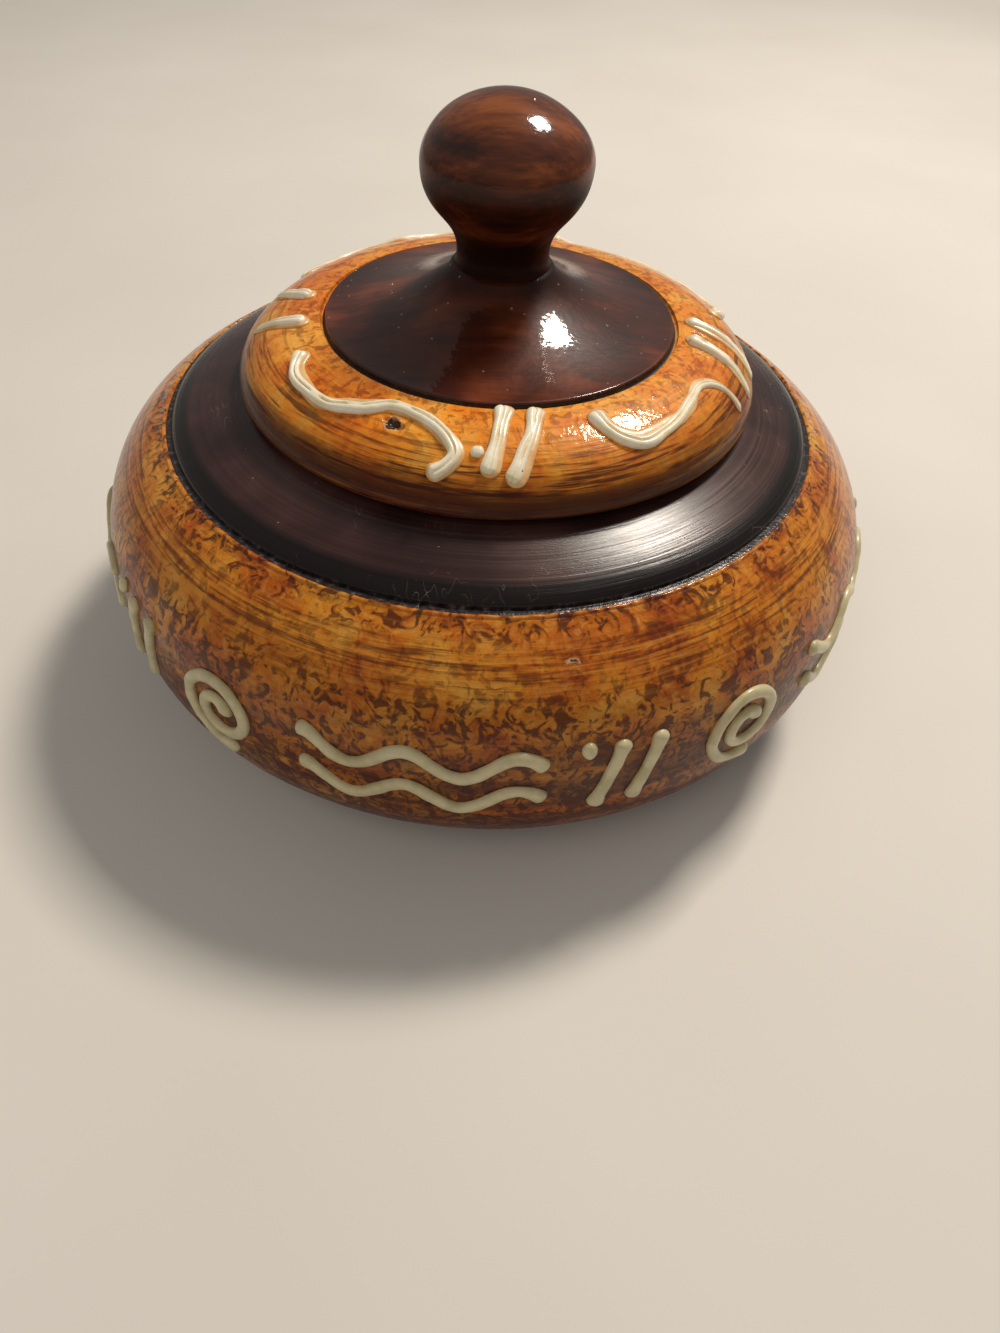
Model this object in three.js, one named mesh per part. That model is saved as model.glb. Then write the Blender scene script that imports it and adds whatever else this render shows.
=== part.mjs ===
// A turned wooden bowl with a lid, a ball knob and trails of raised paste.
// Millimetres, +Z up. The origin is the centre of the flat base. The front of the bowl faces -Y.
import * as THREE from 'three';
import { ParametricGeometry } from 'three/addons/geometries/ParametricGeometry.js';
import { mergeVertices } from 'three/addons/utils/BufferGeometryUtils.js';

// Bowl, outside
const lipRadius = 61.6;
const lipHeight = 54;
const bellyBulge = 13.4; // how far the belly stands out past the lip
const bellyHeight = 30.1; // where the belly is widest
const baseRadius = 38.6;
const upperBellyPower = 2.54; // 2 is an ellipse, and more is squarer
const lowerBellyPower = 3.14;

// Shoulder ring, from the lip inwards
const ledgeWidth = 1.9;
const shoulderStep = 0.5; // height of the upright step where the shoulder starts
const shoulderRise = 6; // height of the lid's seat above the lip
const shoulderOuterReach = 1.8; // reach of the domed shoulder's curve at its two ends
const shoulderInnerReach = 6;
const shoulderInnerAngle = 12; // degrees that the shoulder slopes at the seat
const seatWidth = 6.2;
const mouthRadius = 38.3;

// Bowl, inside
const wall = 10;
const floorThickness = 10;
const floorRadius = 30;
const shoulderThickness = 10;

// Lid
const lidOverhang = 9.2; // how far the rim stands out past the mouth
const rimUndercut = 2.7; // how far the underside's edge lies inside the rim's widest circle
const rimLowerHeight = 1.7; // underside to the widest circle
const rimLowerPower = 1.2;
const rimUpperHeight = 10.2; // widest circle to the crest
const rimHalfWidth = 18.2;
const rimBand = 15.2; // widest circle in to the groove
const grooveWidth = 1.4;
const grooveDepth = 0.7;
const coneStep = 0.5; // how far the cone's edge stands above the rim's edge
const coneRise = 9.1;
const conePower = 1.6; // 1 is a straight cone, and more flares like a trumpet
const coneFlareShare = 0.206; // share of the cone's rise that is a sharper flare close to the neck
const coneFlarePower = 8;
const plugDepth = 6;
const plugClearance = 0.6;
const plugChamfer = 1;

// Knob
const neckRadius = 8;
const neckHeight = 1.9; // the narrowest place, above the lid
const neckFlare = 0.5;
const ballRadius = 14.3;
const knobHeight = 26.5;
const ballCapHeight = 10.1; // the ball's widest circle to its top
const ballCapPower = 1.87;
const ballFullness = 0.55; // reach of the curve's two ends, as shares of the neck's length
const neckFullness = 0.44;
const tenonRadius = 5;
const tenonLength = 14;
const tenonChamfer = 0.5;
const seamMargin = 0.2; // the cone's flat top shows this much round the neck

// Gaps between pieces that touch
const seatGap = 0.3;
const tenonEndGap = 0.6;

// Raised trails
const trailWidth = 2.2;
const trailHeight = 1.1;
const dotWidth = 2.6;
const trailSectionLength = 2.2; // length between two drawn sections of a trail
const spiralSectionLength = 1.7;
const dotSectionLength = 1;
const joinTolerance = 1e-5;

// Facets
const bowlSides = 60;
const lidSides = 60;
const knobSides = 40;

// Places worked out from the sizes above
const bellyRadius = lipRadius + bellyBulge;
const shoulderRadius = lipRadius - ledgeWidth;
const seatHeight = lipHeight + shoulderRise;
const seatRadius = mouthRadius + seatWidth;
const cavityRadius = bellyRadius - wall;
const rimRadius = mouthRadius + lidOverhang;
const rimCentreRadius = rimRadius - rimHalfWidth;
const rimWidestHeight = seatHeight + rimLowerHeight;
const grooveRadius = rimRadius - rimBand;
const grooveAngle = Math.acos((grooveRadius - rimCentreRadius) / rimHalfWidth);
const grooveHeight = rimWidestHeight + rimUpperHeight * Math.sin(grooveAngle);
const coneEdgeHeight = grooveHeight + coneStep;
const neckSeatHeight = coneEdgeHeight + coneRise;
const footRadius = neckRadius + neckFlare;
const coneTopRadius = footRadius + seamMargin;
const holeRadius = tenonRadius + seatGap;
const holeBottom = neckSeatHeight - tenonLength - tenonEndGap;

const ellipsePower = 2;

const point = (radius, height) => new THREE.Vector2(radius, height);

// Points along a quarter-like curve round a centre, from one angle to another in degrees.
function roundCurve(centre, across, up, power, fromDegrees, toDegrees, steps) {
  const points = [];
  for (let i = 0; i <= steps; i += 1) {
    const angle = THREE.MathUtils.degToRad(THREE.MathUtils.lerp(fromDegrees, toDegrees, i / steps));
    const cosine = Math.cos(angle);
    const sine = Math.sin(angle);
    const radius = centre.x + across * Math.sign(cosine) * Math.abs(cosine) ** (2 / power);
    const height = centre.y + up * Math.sign(sine) * Math.abs(sine) ** (2 / power);
    points.push(point(radius, height));
  }
  return points;
}

// Half height of a rounded curve that is bellyRadius wide and passes through a given radius and rise.
function curveHalfHeight(radius, rise, power) {
  return rise / (1 - (radius / bellyRadius) ** power) ** (1 / power);
}

const upperBellyHalf = curveHalfHeight(lipRadius, lipHeight - bellyHeight, upperBellyPower);
const lowerBellyHalf = curveHalfHeight(baseRadius, bellyHeight, lowerBellyPower);

function bellyRadiusAt(height) {
  const rise = height - bellyHeight;
  const half = rise > 0 ? upperBellyHalf : lowerBellyHalf;
  const power = rise > 0 ? upperBellyPower : lowerBellyPower;
  return bellyRadius * (1 - Math.abs(rise / half) ** power) ** (1 / power);
}

// The belly from the base up to the lip, with closer steps where the base curls in.
function bellyOutline() {
  const lowerSteps = 11;
  const upperSteps = 9;
  const points = [];
  for (let i = 0; i < lowerSteps; i += 1) {
    const height = bellyHeight * (1 - Math.cos((i / lowerSteps) * Math.PI / 2));
    points.push(point(bellyRadiusAt(height), height));
  }
  for (let i = 0; i <= upperSteps; i += 1) {
    const height = THREE.MathUtils.lerp(bellyHeight, lipHeight, i / upperSteps);
    points.push(point(bellyRadiusAt(height), height));
  }
  return points;
}

// A low upright step, the domed shoulder, and the flat seat round the mouth.
function shoulderOutline() {
  const slope = Math.tan(THREE.MathUtils.degToRad(shoulderInnerAngle));
  const start = point(shoulderRadius, lipHeight + shoulderStep);
  const startReach = point(shoulderRadius, start.y + shoulderOuterReach);
  const endReach = point(seatRadius + shoulderInnerReach, seatHeight - shoulderInnerReach * slope);
  const end = point(seatRadius, seatHeight);
  const dome = new THREE.CubicBezierCurve(start, startReach, endReach, end).getPoints(9);
  return [point(shoulderRadius, lipHeight), ...dome, point(mouthRadius, seatHeight)];
}

function cavityOutline() {
  const underShoulder = seatHeight - shoulderThickness;
  const upperCentre = point(mouthRadius, bellyHeight);
  const lowerCentre = point(floorRadius, bellyHeight);
  const upperHalf = underShoulder - bellyHeight;
  const lowerHalf = bellyHeight - floorThickness;
  const upper = roundCurve(upperCentre, cavityRadius - mouthRadius, upperHalf, ellipsePower, 90, 0, 6);
  const lower = roundCurve(lowerCentre, cavityRadius - floorRadius, lowerHalf, ellipsePower, 0, -90, 6);
  return [...upper, ...lower.slice(1)];
}

function lathe(points, sides) {
  const geometry = new THREE.LatheGeometry(points, sides);
  geometry.rotateX(Math.PI / 2); // the lathe turns about Y, and the bowl stands along Z
  return geometry;
}

function bowlGeometry() {
  const outline = [
    point(0, 0),
    ...bellyOutline(),
    ...shoulderOutline(),
    ...cavityOutline(),
    point(0, floorThickness),
  ];
  return lathe(outline, bowlSides);
}

// The lid's rim from the underside's edge, round the outside, to the groove.
function rimOutline() {
  const lowerCentre = point(rimRadius - rimUndercut, rimWidestHeight);
  const upperCentre = point(rimCentreRadius, rimWidestHeight);
  const lower = roundCurve(lowerCentre, rimUndercut, rimLowerHeight, rimLowerPower, -90, 0, 4);
  const grooveDegrees = THREE.MathUtils.radToDeg(grooveAngle);
  const upper = roundCurve(upperCentre, rimHalfWidth, rimUpperHeight, ellipsePower, 0, grooveDegrees, 9);
  return [...lower, ...upper.slice(1)];
}

function coneOutline() {
  const steps = 9;
  const edgeRadius = grooveRadius - grooveWidth;
  const points = [];
  for (let i = 0; i <= steps; i += 1) {
    const share = i / steps;
    const radius = THREE.MathUtils.lerp(edgeRadius, coneTopRadius, share);
    const rise = THREE.MathUtils.lerp(share ** conePower, share ** coneFlarePower, coneFlareShare);
    points.push(point(radius, coneEdgeHeight + coneRise * rise));
  }
  return points;
}

function lidGeometry() {
  const plugRadius = mouthRadius - plugClearance;
  const plugBottom = seatHeight - plugDepth;
  const grooveCentre = point(grooveRadius - grooveWidth / 2, grooveHeight);
  const groove = roundCurve(grooveCentre, grooveWidth / 2, grooveDepth, ellipsePower, 0, -180, 6);
  const outline = [
    point(0, plugBottom),
    point(plugRadius - plugChamfer, plugBottom),
    point(plugRadius, plugBottom + plugChamfer),
    point(plugRadius, seatHeight),
    ...rimOutline(),
    ...groove.slice(1, -1),
    ...coneOutline(),
    point(holeRadius, neckSeatHeight),
    point(holeRadius, holeBottom),
    point(0, holeBottom),
  ];
  return lathe(outline, lidSides);
}

function knobGeometry() {
  const widest = point(ballRadius, neckSeatHeight + knobHeight - ballCapHeight);
  const narrowest = point(neckRadius, neckSeatHeight + neckHeight);
  const run = widest.y - narrowest.y;
  const neck = new THREE.CubicBezierCurve(
    narrowest,
    point(neckRadius, narrowest.y + neckFullness * run),
    point(ballRadius, widest.y - ballFullness * run),
    widest,
  );
  const capCentre = point(0, widest.y);
  const cap = roundCurve(capCentre, ballRadius, ballCapHeight, ballCapPower, 0, 90, 7);
  const tenonBottom = neckSeatHeight - tenonLength;
  const outline = [
    point(0, tenonBottom),
    point(tenonRadius - tenonChamfer, tenonBottom),
    point(tenonRadius, tenonBottom + tenonChamfer),
    point(tenonRadius, neckSeatHeight),
    point(footRadius, neckSeatHeight),
    ...neck.getPoints(8),
    ...cap.slice(1, -1),
    point(0, widest.y + ballCapHeight),
  ];
  return lathe(outline, knobSides);
}

function onCircle(azimuthDegrees, radius, height) {
  const azimuth = THREE.MathUtils.degToRad(azimuthDegrees);
  return new THREE.Vector3(radius * Math.cos(azimuth), radius * Math.sin(azimuth), height);
}

// A place on the lid's rim: degrees round the lid from +X, and degrees up the rim's round section,
// 0 at its widest circle and 90 at its crest.
function onRim(azimuthDegrees, sectionDegrees) {
  const section = THREE.MathUtils.degToRad(sectionDegrees);
  const radius = rimCentreRadius + rimHalfWidth * Math.cos(section);
  return onCircle(azimuthDegrees, radius, rimWidestHeight + rimUpperHeight * Math.sin(section));
}

// A place on the belly: degrees round the bowl from +X, and millimetres above its widest circle.
function onBelly(azimuthDegrees, rise) {
  const height = bellyHeight + rise;
  return onCircle(azimuthDegrees, bellyRadiusAt(height), height);
}

// A smooth route over a surface, through a few places on it, measured along its real length.
function routeOver(surface, places) {
  const corners = places.map(([azimuth, place]) => new THREE.Vector2(azimuth, place));
  const fine = new THREE.SplineCurve(corners).getPoints(40 * places.length);
  const spots = fine.map((spot) => surface(spot.x, spot.y));
  const travelled = [0];
  for (let i = 1; i < spots.length; i += 1) {
    travelled.push(travelled[i - 1] + spots[i].distanceTo(spots[i - 1]));
  }
  const length = travelled[travelled.length - 1];
  function placeAt(distance) {
    const wanted = THREE.MathUtils.clamp(distance, 0, length);
    let i = 1;
    while (i < spots.length - 1 && travelled[i] < wanted) {
      i += 1;
    }
    const share = (wanted - travelled[i - 1]) / (travelled[i] - travelled[i - 1]);
    return fine[i - 1].clone().lerp(fine[i], share);
  }
  return { length, placeAt };
}

// Distances along a trail at which its section is drawn: close together in the two rounded ends.
// On a dot the two ends are all there is, and they share the section in the middle.
function stationsAlong(length, endLength, sectionLength) {
  const endReach = Math.min(endLength, length / 2);
  const start = [0, 0.13, 0.5, 1].map((share) => share * endReach);
  const finish = start.map((distance) => length - distance).reverse();
  const middleLength = length - 2 * endReach;
  if (middleLength < joinTolerance) {
    return [...start, ...finish.slice(1)];
  }
  const middleSteps = Math.max(1, Math.round(middleLength / sectionLength));
  const middle = [];
  for (let i = 1; i < middleSteps; i += 1) {
    middle.push(endReach + (middleLength * i) / middleSteps);
  }
  return [...start, ...middle, ...finish];
}

// A closed solid needs its seam joined and the flat triangles at its two tips dropped.
function joinSeams(geometry) {
  geometry.deleteAttribute('normal');
  geometry.deleteAttribute('uv');
  const merged = mergeVertices(geometry, joinTolerance);
  const index = merged.getIndex().array;
  const kept = [];
  for (let i = 0; i < index.length; i += 3) {
    const [a, b, c] = [index[i], index[i + 1], index[i + 2]];
    if (a !== b && b !== c && c !== a) {
      kept.push(a, b, c);
    }
  }
  merged.setIndex(kept);
  merged.computeVertexNormals();
  return merged;
}

// A bead of paste laid over a surface: flat below, round above, and rounded off at both ends.
function trailGeometry(surface, places, width, sectionLength) {
  const sectionPoints = 5;
  const halfWidth = width / 2;
  const nudge = 0.05;
  const route = routeOver(surface, places);
  const stations = stationsAlong(route.length, halfWidth, sectionLength);

  function frameAt(distance) {
    const place = route.placeAt(distance);
    const before = route.placeAt(distance - nudge);
    const after = route.placeAt(distance + nudge);
    const centre = surface(place.x, place.y);
    const along = surface(after.x, after.y).sub(surface(before.x, before.y)).normalize();
    const round = surface(place.x + nudge, place.y).sub(centre);
    const upward = surface(place.x, place.y + nudge).sub(centre);
    const outward = round.cross(upward).normalize();
    const side = outward.clone().cross(along).normalize();
    return { centre, outward, side };
  }
  const frames = stations.map(frameAt);

  function sectionPoint(u, v, target) {
    const station = Math.round(u * (stations.length - 1));
    const distance = stations[station];
    const fromTip = Math.min(distance, route.length - distance);
    const fullness = Math.sqrt(1 - (1 - Math.min(1, fromTip / halfWidth)) ** 2);
    const turn = Math.PI * ((Math.round(v * sectionPoints) % sectionPoints) / (sectionPoints - 1) - 0.5);
    const { centre, outward, side } = frames[station];
    target.copy(centre);
    target.addScaledVector(outward, seatGap + trailHeight * fullness * Math.cos(turn));
    target.addScaledVector(side, halfWidth * fullness * Math.sin(turn));
  }
  return joinSeams(new ParametricGeometry(sectionPoint, stations.length - 1, sectionPoints));
}

function material(color, roughness) {
  return new THREE.MeshStandardMaterial({ color, roughness, metalness: 0 });
}

const group = new THREE.Group();

function addPiece(name, geometry, color, roughness) {
  const mesh = new THREE.Mesh(geometry, material(color, roughness));
  mesh.name = name;
  group.add(mesh);
}

const mottledOrange = 0xb25a1c;
const knobBrown = 0x5c2c18;
const creamPaste = 0xe9dcb8;

function addTrail(name, surface, places, width, sectionLength) {
  addPiece(name, trailGeometry(surface, places, width, sectionLength), creamPaste, 0.5);
}

addPiece('bowl_body', bowlGeometry(), mottledOrange, 0.3);
addPiece('lid_disc', lidGeometry(), mottledOrange, 0.3);
addPiece('knob', knobGeometry(), knobBrown, 0.35);

// Lying waves on the lid, one in each quarter: [degrees round the lid, degrees up the rim's section].
const lidWaves = {
  front_left: [[-154.5, 67], [-148.5, 56], [-140.5, 52], [-131.5, 53], [-124.5, 59], [-117, 68], [-108, 66],
    [-101.7, 58], [-98.7, 47], [-100.2, 37], [-103.3, 29]],
  front_right: [[-65, 73], [-63, 58], [-57.5, 45], [-51, 46], [-40, 52], [-30.5, 57], [-25, 46], [-24.5, 21]],
  back_right: [[11.5, 50], [14.5, 41], [18, 31], [22, 23], [28, 20], [36, 23], [46, 28], [54, 29],
    [61, 27], [67, 27], [72, 34], [76, 46]],
  back_left: [[101, 37], [107, 35], [113, 36], [119, 40], [125, 32], [132, 29], [139, 26], [145, 23],
    [150, 21]],
};
for (const [quarter, places] of Object.entries(lidWaves)) {
  addTrail(`lid_wave_${quarter}`, onRim, places, trailWidth, trailSectionLength);
}

// Pairs of short bars between the waves, from the groove outwards.
const lidBars = {
  front: [[[-88, 83], [-91.7, 33]], [[-78.9, 81], [-87.2, 28]]],
  right: [[[-10, 77], [-17, 18]], [[1.3, 77], [-8.7, 17]]],
  back: [[[84, 78], [88, 30]], [[93, 78], [97, 31]]],
  left: [[[173.6, 74], [167, 39]], [[190.5, 75], [183, 35]]],
};
for (const [side, pair] of Object.entries(lidBars)) {
  pair.forEach((places, i) => {
    addTrail(`lid_bar_${side}_${i + 1}`, onRim, places, trailWidth, trailSectionLength);
  });
}

addTrail('lid_dot', onRim, [[-96.6, 50], [-94.4, 49]], dotWidth, dotSectionLength);

// The belly's frieze repeats a spiral, two lying waves, a dot and two leaning bars.
const friezeRepeats = 5;
const friezeStartAngle = -125; // degrees round the bowl to the first spiral's centre
const friezeHeight = 0.5; // millimetres above the widest circle
const driftHeight = 0.8; // how far a repeat strays up or down, as laid by hand
const driftAngle = 132; // degrees of that wander from one repeat to the next
const degreesPerMillimetre = 360 / (2 * Math.PI * bellyRadius);

const spiralInnerRadius = 1.6;
const spiralBandWidth = 3.9; // between one turn and the next
const spiralAngle = 648; // degrees that the spiral turns through
const waveStartAngle = 12.5; // degrees on from the spiral's centre, as are the next ones
const waveSpanAngle = 31;
const waveCount = 2.25;
const waveHalfHeight = 2.3;
const waveRowHeight = 7.6;
const dotAngle = 48.5;
const dotHeight = 6.5;
const barAngle = 50;
const barStepAngle = 5;
const barHalfLength = 7.5;
const barLeanAngle = 3;

function spiralPlaces(centreDegrees, centreRise) {
  const count = 20;
  const places = [];
  for (let i = 0; i <= count; i += 1) {
    const degrees = (i / count) * spiralAngle;
    const radius = spiralInnerRadius + (spiralBandWidth * degrees) / 360;
    const angle = THREE.MathUtils.degToRad(degrees);
    const across = radius * Math.cos(angle) * degreesPerMillimetre;
    places.push([centreDegrees + across, centreRise + radius * Math.sin(angle)]);
  }
  return places;
}

function wavePlaces(startDegrees, middleRise) {
  const count = 8 * waveCount;
  const places = [];
  for (let i = 0; i <= count; i += 1) {
    const share = i / count;
    const rise = waveHalfHeight * Math.cos(2 * Math.PI * waveCount * share);
    places.push([startDegrees + waveSpanAngle * share, middleRise + rise]);
  }
  return places;
}

for (let i = 0; i < friezeRepeats; i += 1) {
  const spiralAt = friezeStartAngle + (i * 360) / friezeRepeats;
  const middle = friezeHeight + driftHeight * Math.sin(THREE.MathUtils.degToRad(driftAngle * i));
  const number = i + 1;
  const spiral = spiralPlaces(spiralAt, middle);
  addTrail(`belly_spiral_${number}`, onBelly, spiral, trailWidth, spiralSectionLength);
  for (const row of [0, 1]) {
    const rowRise = middle + (row - 0.5) * waveRowHeight;
    const places = wavePlaces(spiralAt + waveStartAngle, rowRise);
    addTrail(`belly_wave_${number}_${row + 1}`, onBelly, places, trailWidth, trailSectionLength);
  }
  for (const side of [0, 1]) {
    const foot = spiralAt + barAngle + side * barStepAngle;
    const places = [[foot, middle - barHalfLength], [foot + barLeanAngle, middle + barHalfLength]];
    addTrail(`belly_bar_${number}_${side + 1}`, onBelly, places, trailWidth, trailSectionLength);
  }
  const dotAt = spiralAt + dotAngle;
  const half = (dotWidth / 2) * degreesPerMillimetre;
  const dotPlaces = [[dotAt - half, middle + dotHeight], [dotAt + half, middle + dotHeight]];
  addTrail(`belly_dot_${number}`, onBelly, dotPlaces, dotWidth, dotSectionLength);
}

export default group;
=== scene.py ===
# %% [markdown]
# A lidded wooden bowl. The real object is turned on a lathe in three pieces: a squat round bowl, a lid
# whose middle rises in a dark trumpet-shaped cone, and a ball knob glued into the cone. Orange and brown
# paint is dabbed over the belly and the lid's rim, everything is varnished, and lines of cream paste are
# squeezed on by hand at the end. The CAD model has all of these pieces, with flat facets. This lesson
# dresses each of them with a smooth piece of the same shape and size, in the same place, and gives it the
# look of the real finish.

# %% Load the frame
import math

import bmesh
import bpy
from mathutils import Matrix, Vector, noise
from mathutils.geometry import interpolate_bezier


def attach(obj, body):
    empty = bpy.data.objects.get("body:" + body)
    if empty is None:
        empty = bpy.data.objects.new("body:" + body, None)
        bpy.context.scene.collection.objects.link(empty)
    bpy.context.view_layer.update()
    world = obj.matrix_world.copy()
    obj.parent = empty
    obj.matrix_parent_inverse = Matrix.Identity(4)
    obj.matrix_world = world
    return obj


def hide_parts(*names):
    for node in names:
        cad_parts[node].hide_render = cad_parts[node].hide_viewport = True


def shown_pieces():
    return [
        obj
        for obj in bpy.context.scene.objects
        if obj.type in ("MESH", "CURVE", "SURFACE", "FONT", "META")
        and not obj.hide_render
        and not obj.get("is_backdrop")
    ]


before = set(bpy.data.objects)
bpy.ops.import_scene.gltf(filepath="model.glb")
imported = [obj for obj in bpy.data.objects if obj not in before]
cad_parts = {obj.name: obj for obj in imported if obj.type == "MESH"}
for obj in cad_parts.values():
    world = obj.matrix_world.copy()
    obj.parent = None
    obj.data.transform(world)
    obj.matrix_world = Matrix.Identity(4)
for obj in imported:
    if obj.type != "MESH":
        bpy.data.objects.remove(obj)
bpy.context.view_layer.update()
MM = 0.001
FULL_TURN = 2 * math.pi

# %% [markdown]
# The photograph was taken with a phone's wide lens from close by, above the front of the bowl. The camera's
# place was worked out from the circles of the lip and the rim. A focal length of 960 pixels in a picture
# 1333 pixels tall is 25.9 mm on a sensor that is 36 mm tall, and the camera is turned and rolled by a few
# degrees, as a hand holds it.

# %% Camera
CAMERA_PLACE = Vector((0.0, -166.6, 152.4)) * MM
CAMERA_YAW = math.radians(1.66)
CAMERA_PITCH = math.radians(45.97)
CAMERA_ROLL = math.radians(3.47)
PICTURE_HEIGHT = 1333
FOCAL_PIXELS = 960

camera_data = bpy.data.cameras.new("camera")
camera_data.sensor_fit = "VERTICAL"
camera_data.sensor_height = 36.0
camera_data.lens = FOCAL_PIXELS / PICTURE_HEIGHT * 36.0
camera_data.clip_start = 0.005
camera = bpy.data.objects.new("camera", camera_data)
bpy.context.scene.collection.objects.link(camera)

ahead = Vector((
    math.sin(CAMERA_YAW) * math.cos(CAMERA_PITCH),
    math.cos(CAMERA_YAW) * math.cos(CAMERA_PITCH),
    -math.sin(CAMERA_PITCH),
))
level = Vector((math.cos(CAMERA_YAW), -math.sin(CAMERA_YAW), 0.0))
above = level.cross(ahead)
right = level * math.cos(CAMERA_ROLL) + above * math.sin(CAMERA_ROLL)
top = above * math.cos(CAMERA_ROLL) - level * math.sin(CAMERA_ROLL)
camera_turn = Matrix((right, top, -ahead)).transposed().to_4x4()
camera.matrix_world = Matrix.Translation(CAMERA_PLACE) @ camera_turn
bpy.context.scene.camera = camera
print("camera lens:", round(camera_data.lens, 2), "mm")

# %% [markdown]
# The room's lamp is high behind the bowl on the right: the small bright spots on the knob, the cone and the
# shoulder all point there. A square area light stands in for it. A wide weak light in front and an even
# world fill the shadows, so that a colour renders about as it is written. The varnish shows only one lamp,
# so the front light is hidden from reflections. The floor is plain and pale, and sits just under the base.

# %% Lights and world
def linear(colour):
    """An sRGB hex colour as the linear numbers that Blender works in."""
    channels = [int(colour[i : i + 2], 16) / 255 for i in (1, 3, 5)]
    return tuple(c / 12.92 if c <= 0.04045 else ((c + 0.055) / 1.055) ** 2.4 for c in channels) + (1.0,)


def area_light(name, azimuth, elevation, distance, size, power, colour):
    """A square light that looks at the bowl from a direction given in degrees."""
    data = bpy.data.lights.new(name, "AREA")
    data.shape = "SQUARE"
    data.size = size
    data.energy = power
    data.color = linear(colour)[:3]
    light = bpy.data.objects.new(name, data)
    bpy.context.scene.collection.objects.link(light)
    turn = math.radians(azimuth)
    climb = math.radians(elevation)
    flat = math.cos(climb)
    towards = Vector((math.cos(turn) * flat, math.sin(turn) * flat, math.sin(climb)))
    facing = towards.to_track_quat("Z", "Y").to_matrix().to_4x4()
    light.matrix_world = Matrix.Translation(Vector((0.0, 0.0, 0.06)) + towards * distance) @ facing
    return light


area_light("lamp_back_right", azimuth=47, elevation=56, distance=1.0, size=0.20, power=9.2, colour="#FFF4E6")
fill = area_light(
    "fill_front_left", azimuth=-120, elevation=48, distance=1.4, size=0.9, power=3.8, colour="#FFF8F0",
)
fill.visible_glossy = False

world = bpy.data.worlds.new("room")
world.use_nodes = True
world.node_tree.nodes["Background"].inputs["Color"].default_value = linear("#F2EFEA")
world.node_tree.nodes["Background"].inputs["Strength"].default_value = 0.24
bpy.context.scene.world = world
bpy.context.scene.view_settings.view_transform = "Standard"
print("lights:", [light.name for light in bpy.data.lights])

# %% [markdown]
# Every material below is a small network of nodes. One function adds a node: it sets the node's own
# settings, puts values in its inputs or links them, and fills a colour ramp if there is one. It hands back
# one of the node's outputs, so that the next node can be linked to it.

# %% One function for nodes
def add_node(tree, kind, inputs=None, out=0, stops=None, **settings):
    """Adds one shader node and gives back one of its outputs."""
    made = tree.nodes.new("ShaderNode" + kind)
    for name, value in settings.items():
        setattr(made, name, value)
    for socket, value in (inputs or {}).items():
        if isinstance(value, bpy.types.NodeSocket):
            tree.links.new(value, made.inputs[socket])
        else:
            made.inputs[socket].default_value = value
    if stops:
        elements = made.color_ramp.elements
        elements.remove(elements[1])
        elements[0].position = stops[0][0]
        elements[0].color = linear(stops[0][1])
        for place, colour in stops[1:]:
            elements.new(place).color = linear(colour)
    return made.outputs[out] if made.outputs else made


def start_material(name):
    """An empty node material and its tree."""
    made = bpy.data.materials.new(name)
    made.use_nodes = True
    made.node_tree.nodes.clear()
    return made, made.node_tree


# %% [markdown]
# The floor is a matt painted board. Real paint is never quite even, so its colour drifts a little.

# %% Floor
floor_paint, tree = start_material("pale_matt_painted_board")
place = add_node(tree, "TexCoord", out="Object")
drift = add_node(tree, "TexNoise", {"Vector": place, "Scale": 9.0, "Detail": 3.0})
colour = add_node(tree, "ValToRGB", {0: drift}, stops=[(0.3, "#D6D1CA"), (0.7, "#DCD8D1")])
surface = add_node(tree, "BsdfPrincipled", {"Base Color": colour, "Roughness": 0.7})
add_node(tree, "OutputMaterial", {"Surface": surface})

board = bmesh.new()
bmesh.ops.create_grid(board, x_segments=1, y_segments=1, size=3.0)
bmesh.ops.translate(board, verts=board.verts, vec=(0.0, 0.0, -0.02 * MM))
floor_mesh = bpy.data.meshes.new("floor")
board.to_mesh(floor_mesh)
board.free()
floor_mesh.materials.append(floor_paint)
floor = bpy.data.objects.new("floor", floor_mesh)
bpy.context.scene.collection.objects.link(floor)
floor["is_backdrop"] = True
print("floor:", floor.dimensions[:])

# %% [markdown]
# The orange paint is dabbed on with something crumpled over a yellow ground, in the way a painter imitates
# burl wood. That leaves amber and red-brown patches 5 to 15 mm across, crossed by dark and pale creases 0.5
# to 1 mm wide and 3 to 8 mm long that curl and fork. Lower on the belly the creases are denser, and the
# colour darkens towards the bottom, partly as browner paint and partly as painted shade. The creases are a
# noise seen through a strongly bent space, because bending draws its spots out into curled threads. Where
# the bowl turned against a brush there are rings too: in a band below the lip, and on the outside of the
# lid's rim. The varnish is thick and glossy, with a few lumps along the lip, and it gets thinner low down, so
# that less of the room shows in it there. In two places a chip or a knot hole shows dark wood with a ragged
# pale edge.

# %% Helpers for the mottled paint
def bend(tree, place, size_mm, reach_mm):
    """Pushes places about by a slow noise, so that what is drawn there curls."""
    push = add_node(tree, "TexNoise", {"Vector": place, "Scale": 1000 / size_mm, "Detail": 1.0}, out="Color")
    push = add_node(tree, "VectorMath", {0: push, 1: (0.5, 0.5, 0.5)}, operation="SUBTRACT")
    push = add_node(tree, "VectorMath", {0: push, "Scale": reach_mm * MM}, operation="SCALE")
    return add_node(tree, "VectorMath", {0: place, 1: push}, operation="ADD")


def height_band(tree, height, low, full_low, full_high, high):
    """1 between two heights in mm, and fading to 0 beyond them."""
    rise = add_node(tree, "MapRange", {"Value": height, "From Min": low * MM, "From Max": full_low * MM})
    fall = add_node(tree, "MapRange", {"Value": height, "From Min": high * MM, "From Max": full_high * MM})
    return add_node(tree, "Math", {0: rise, 1: fall}, operation="MULTIPLY")


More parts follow.
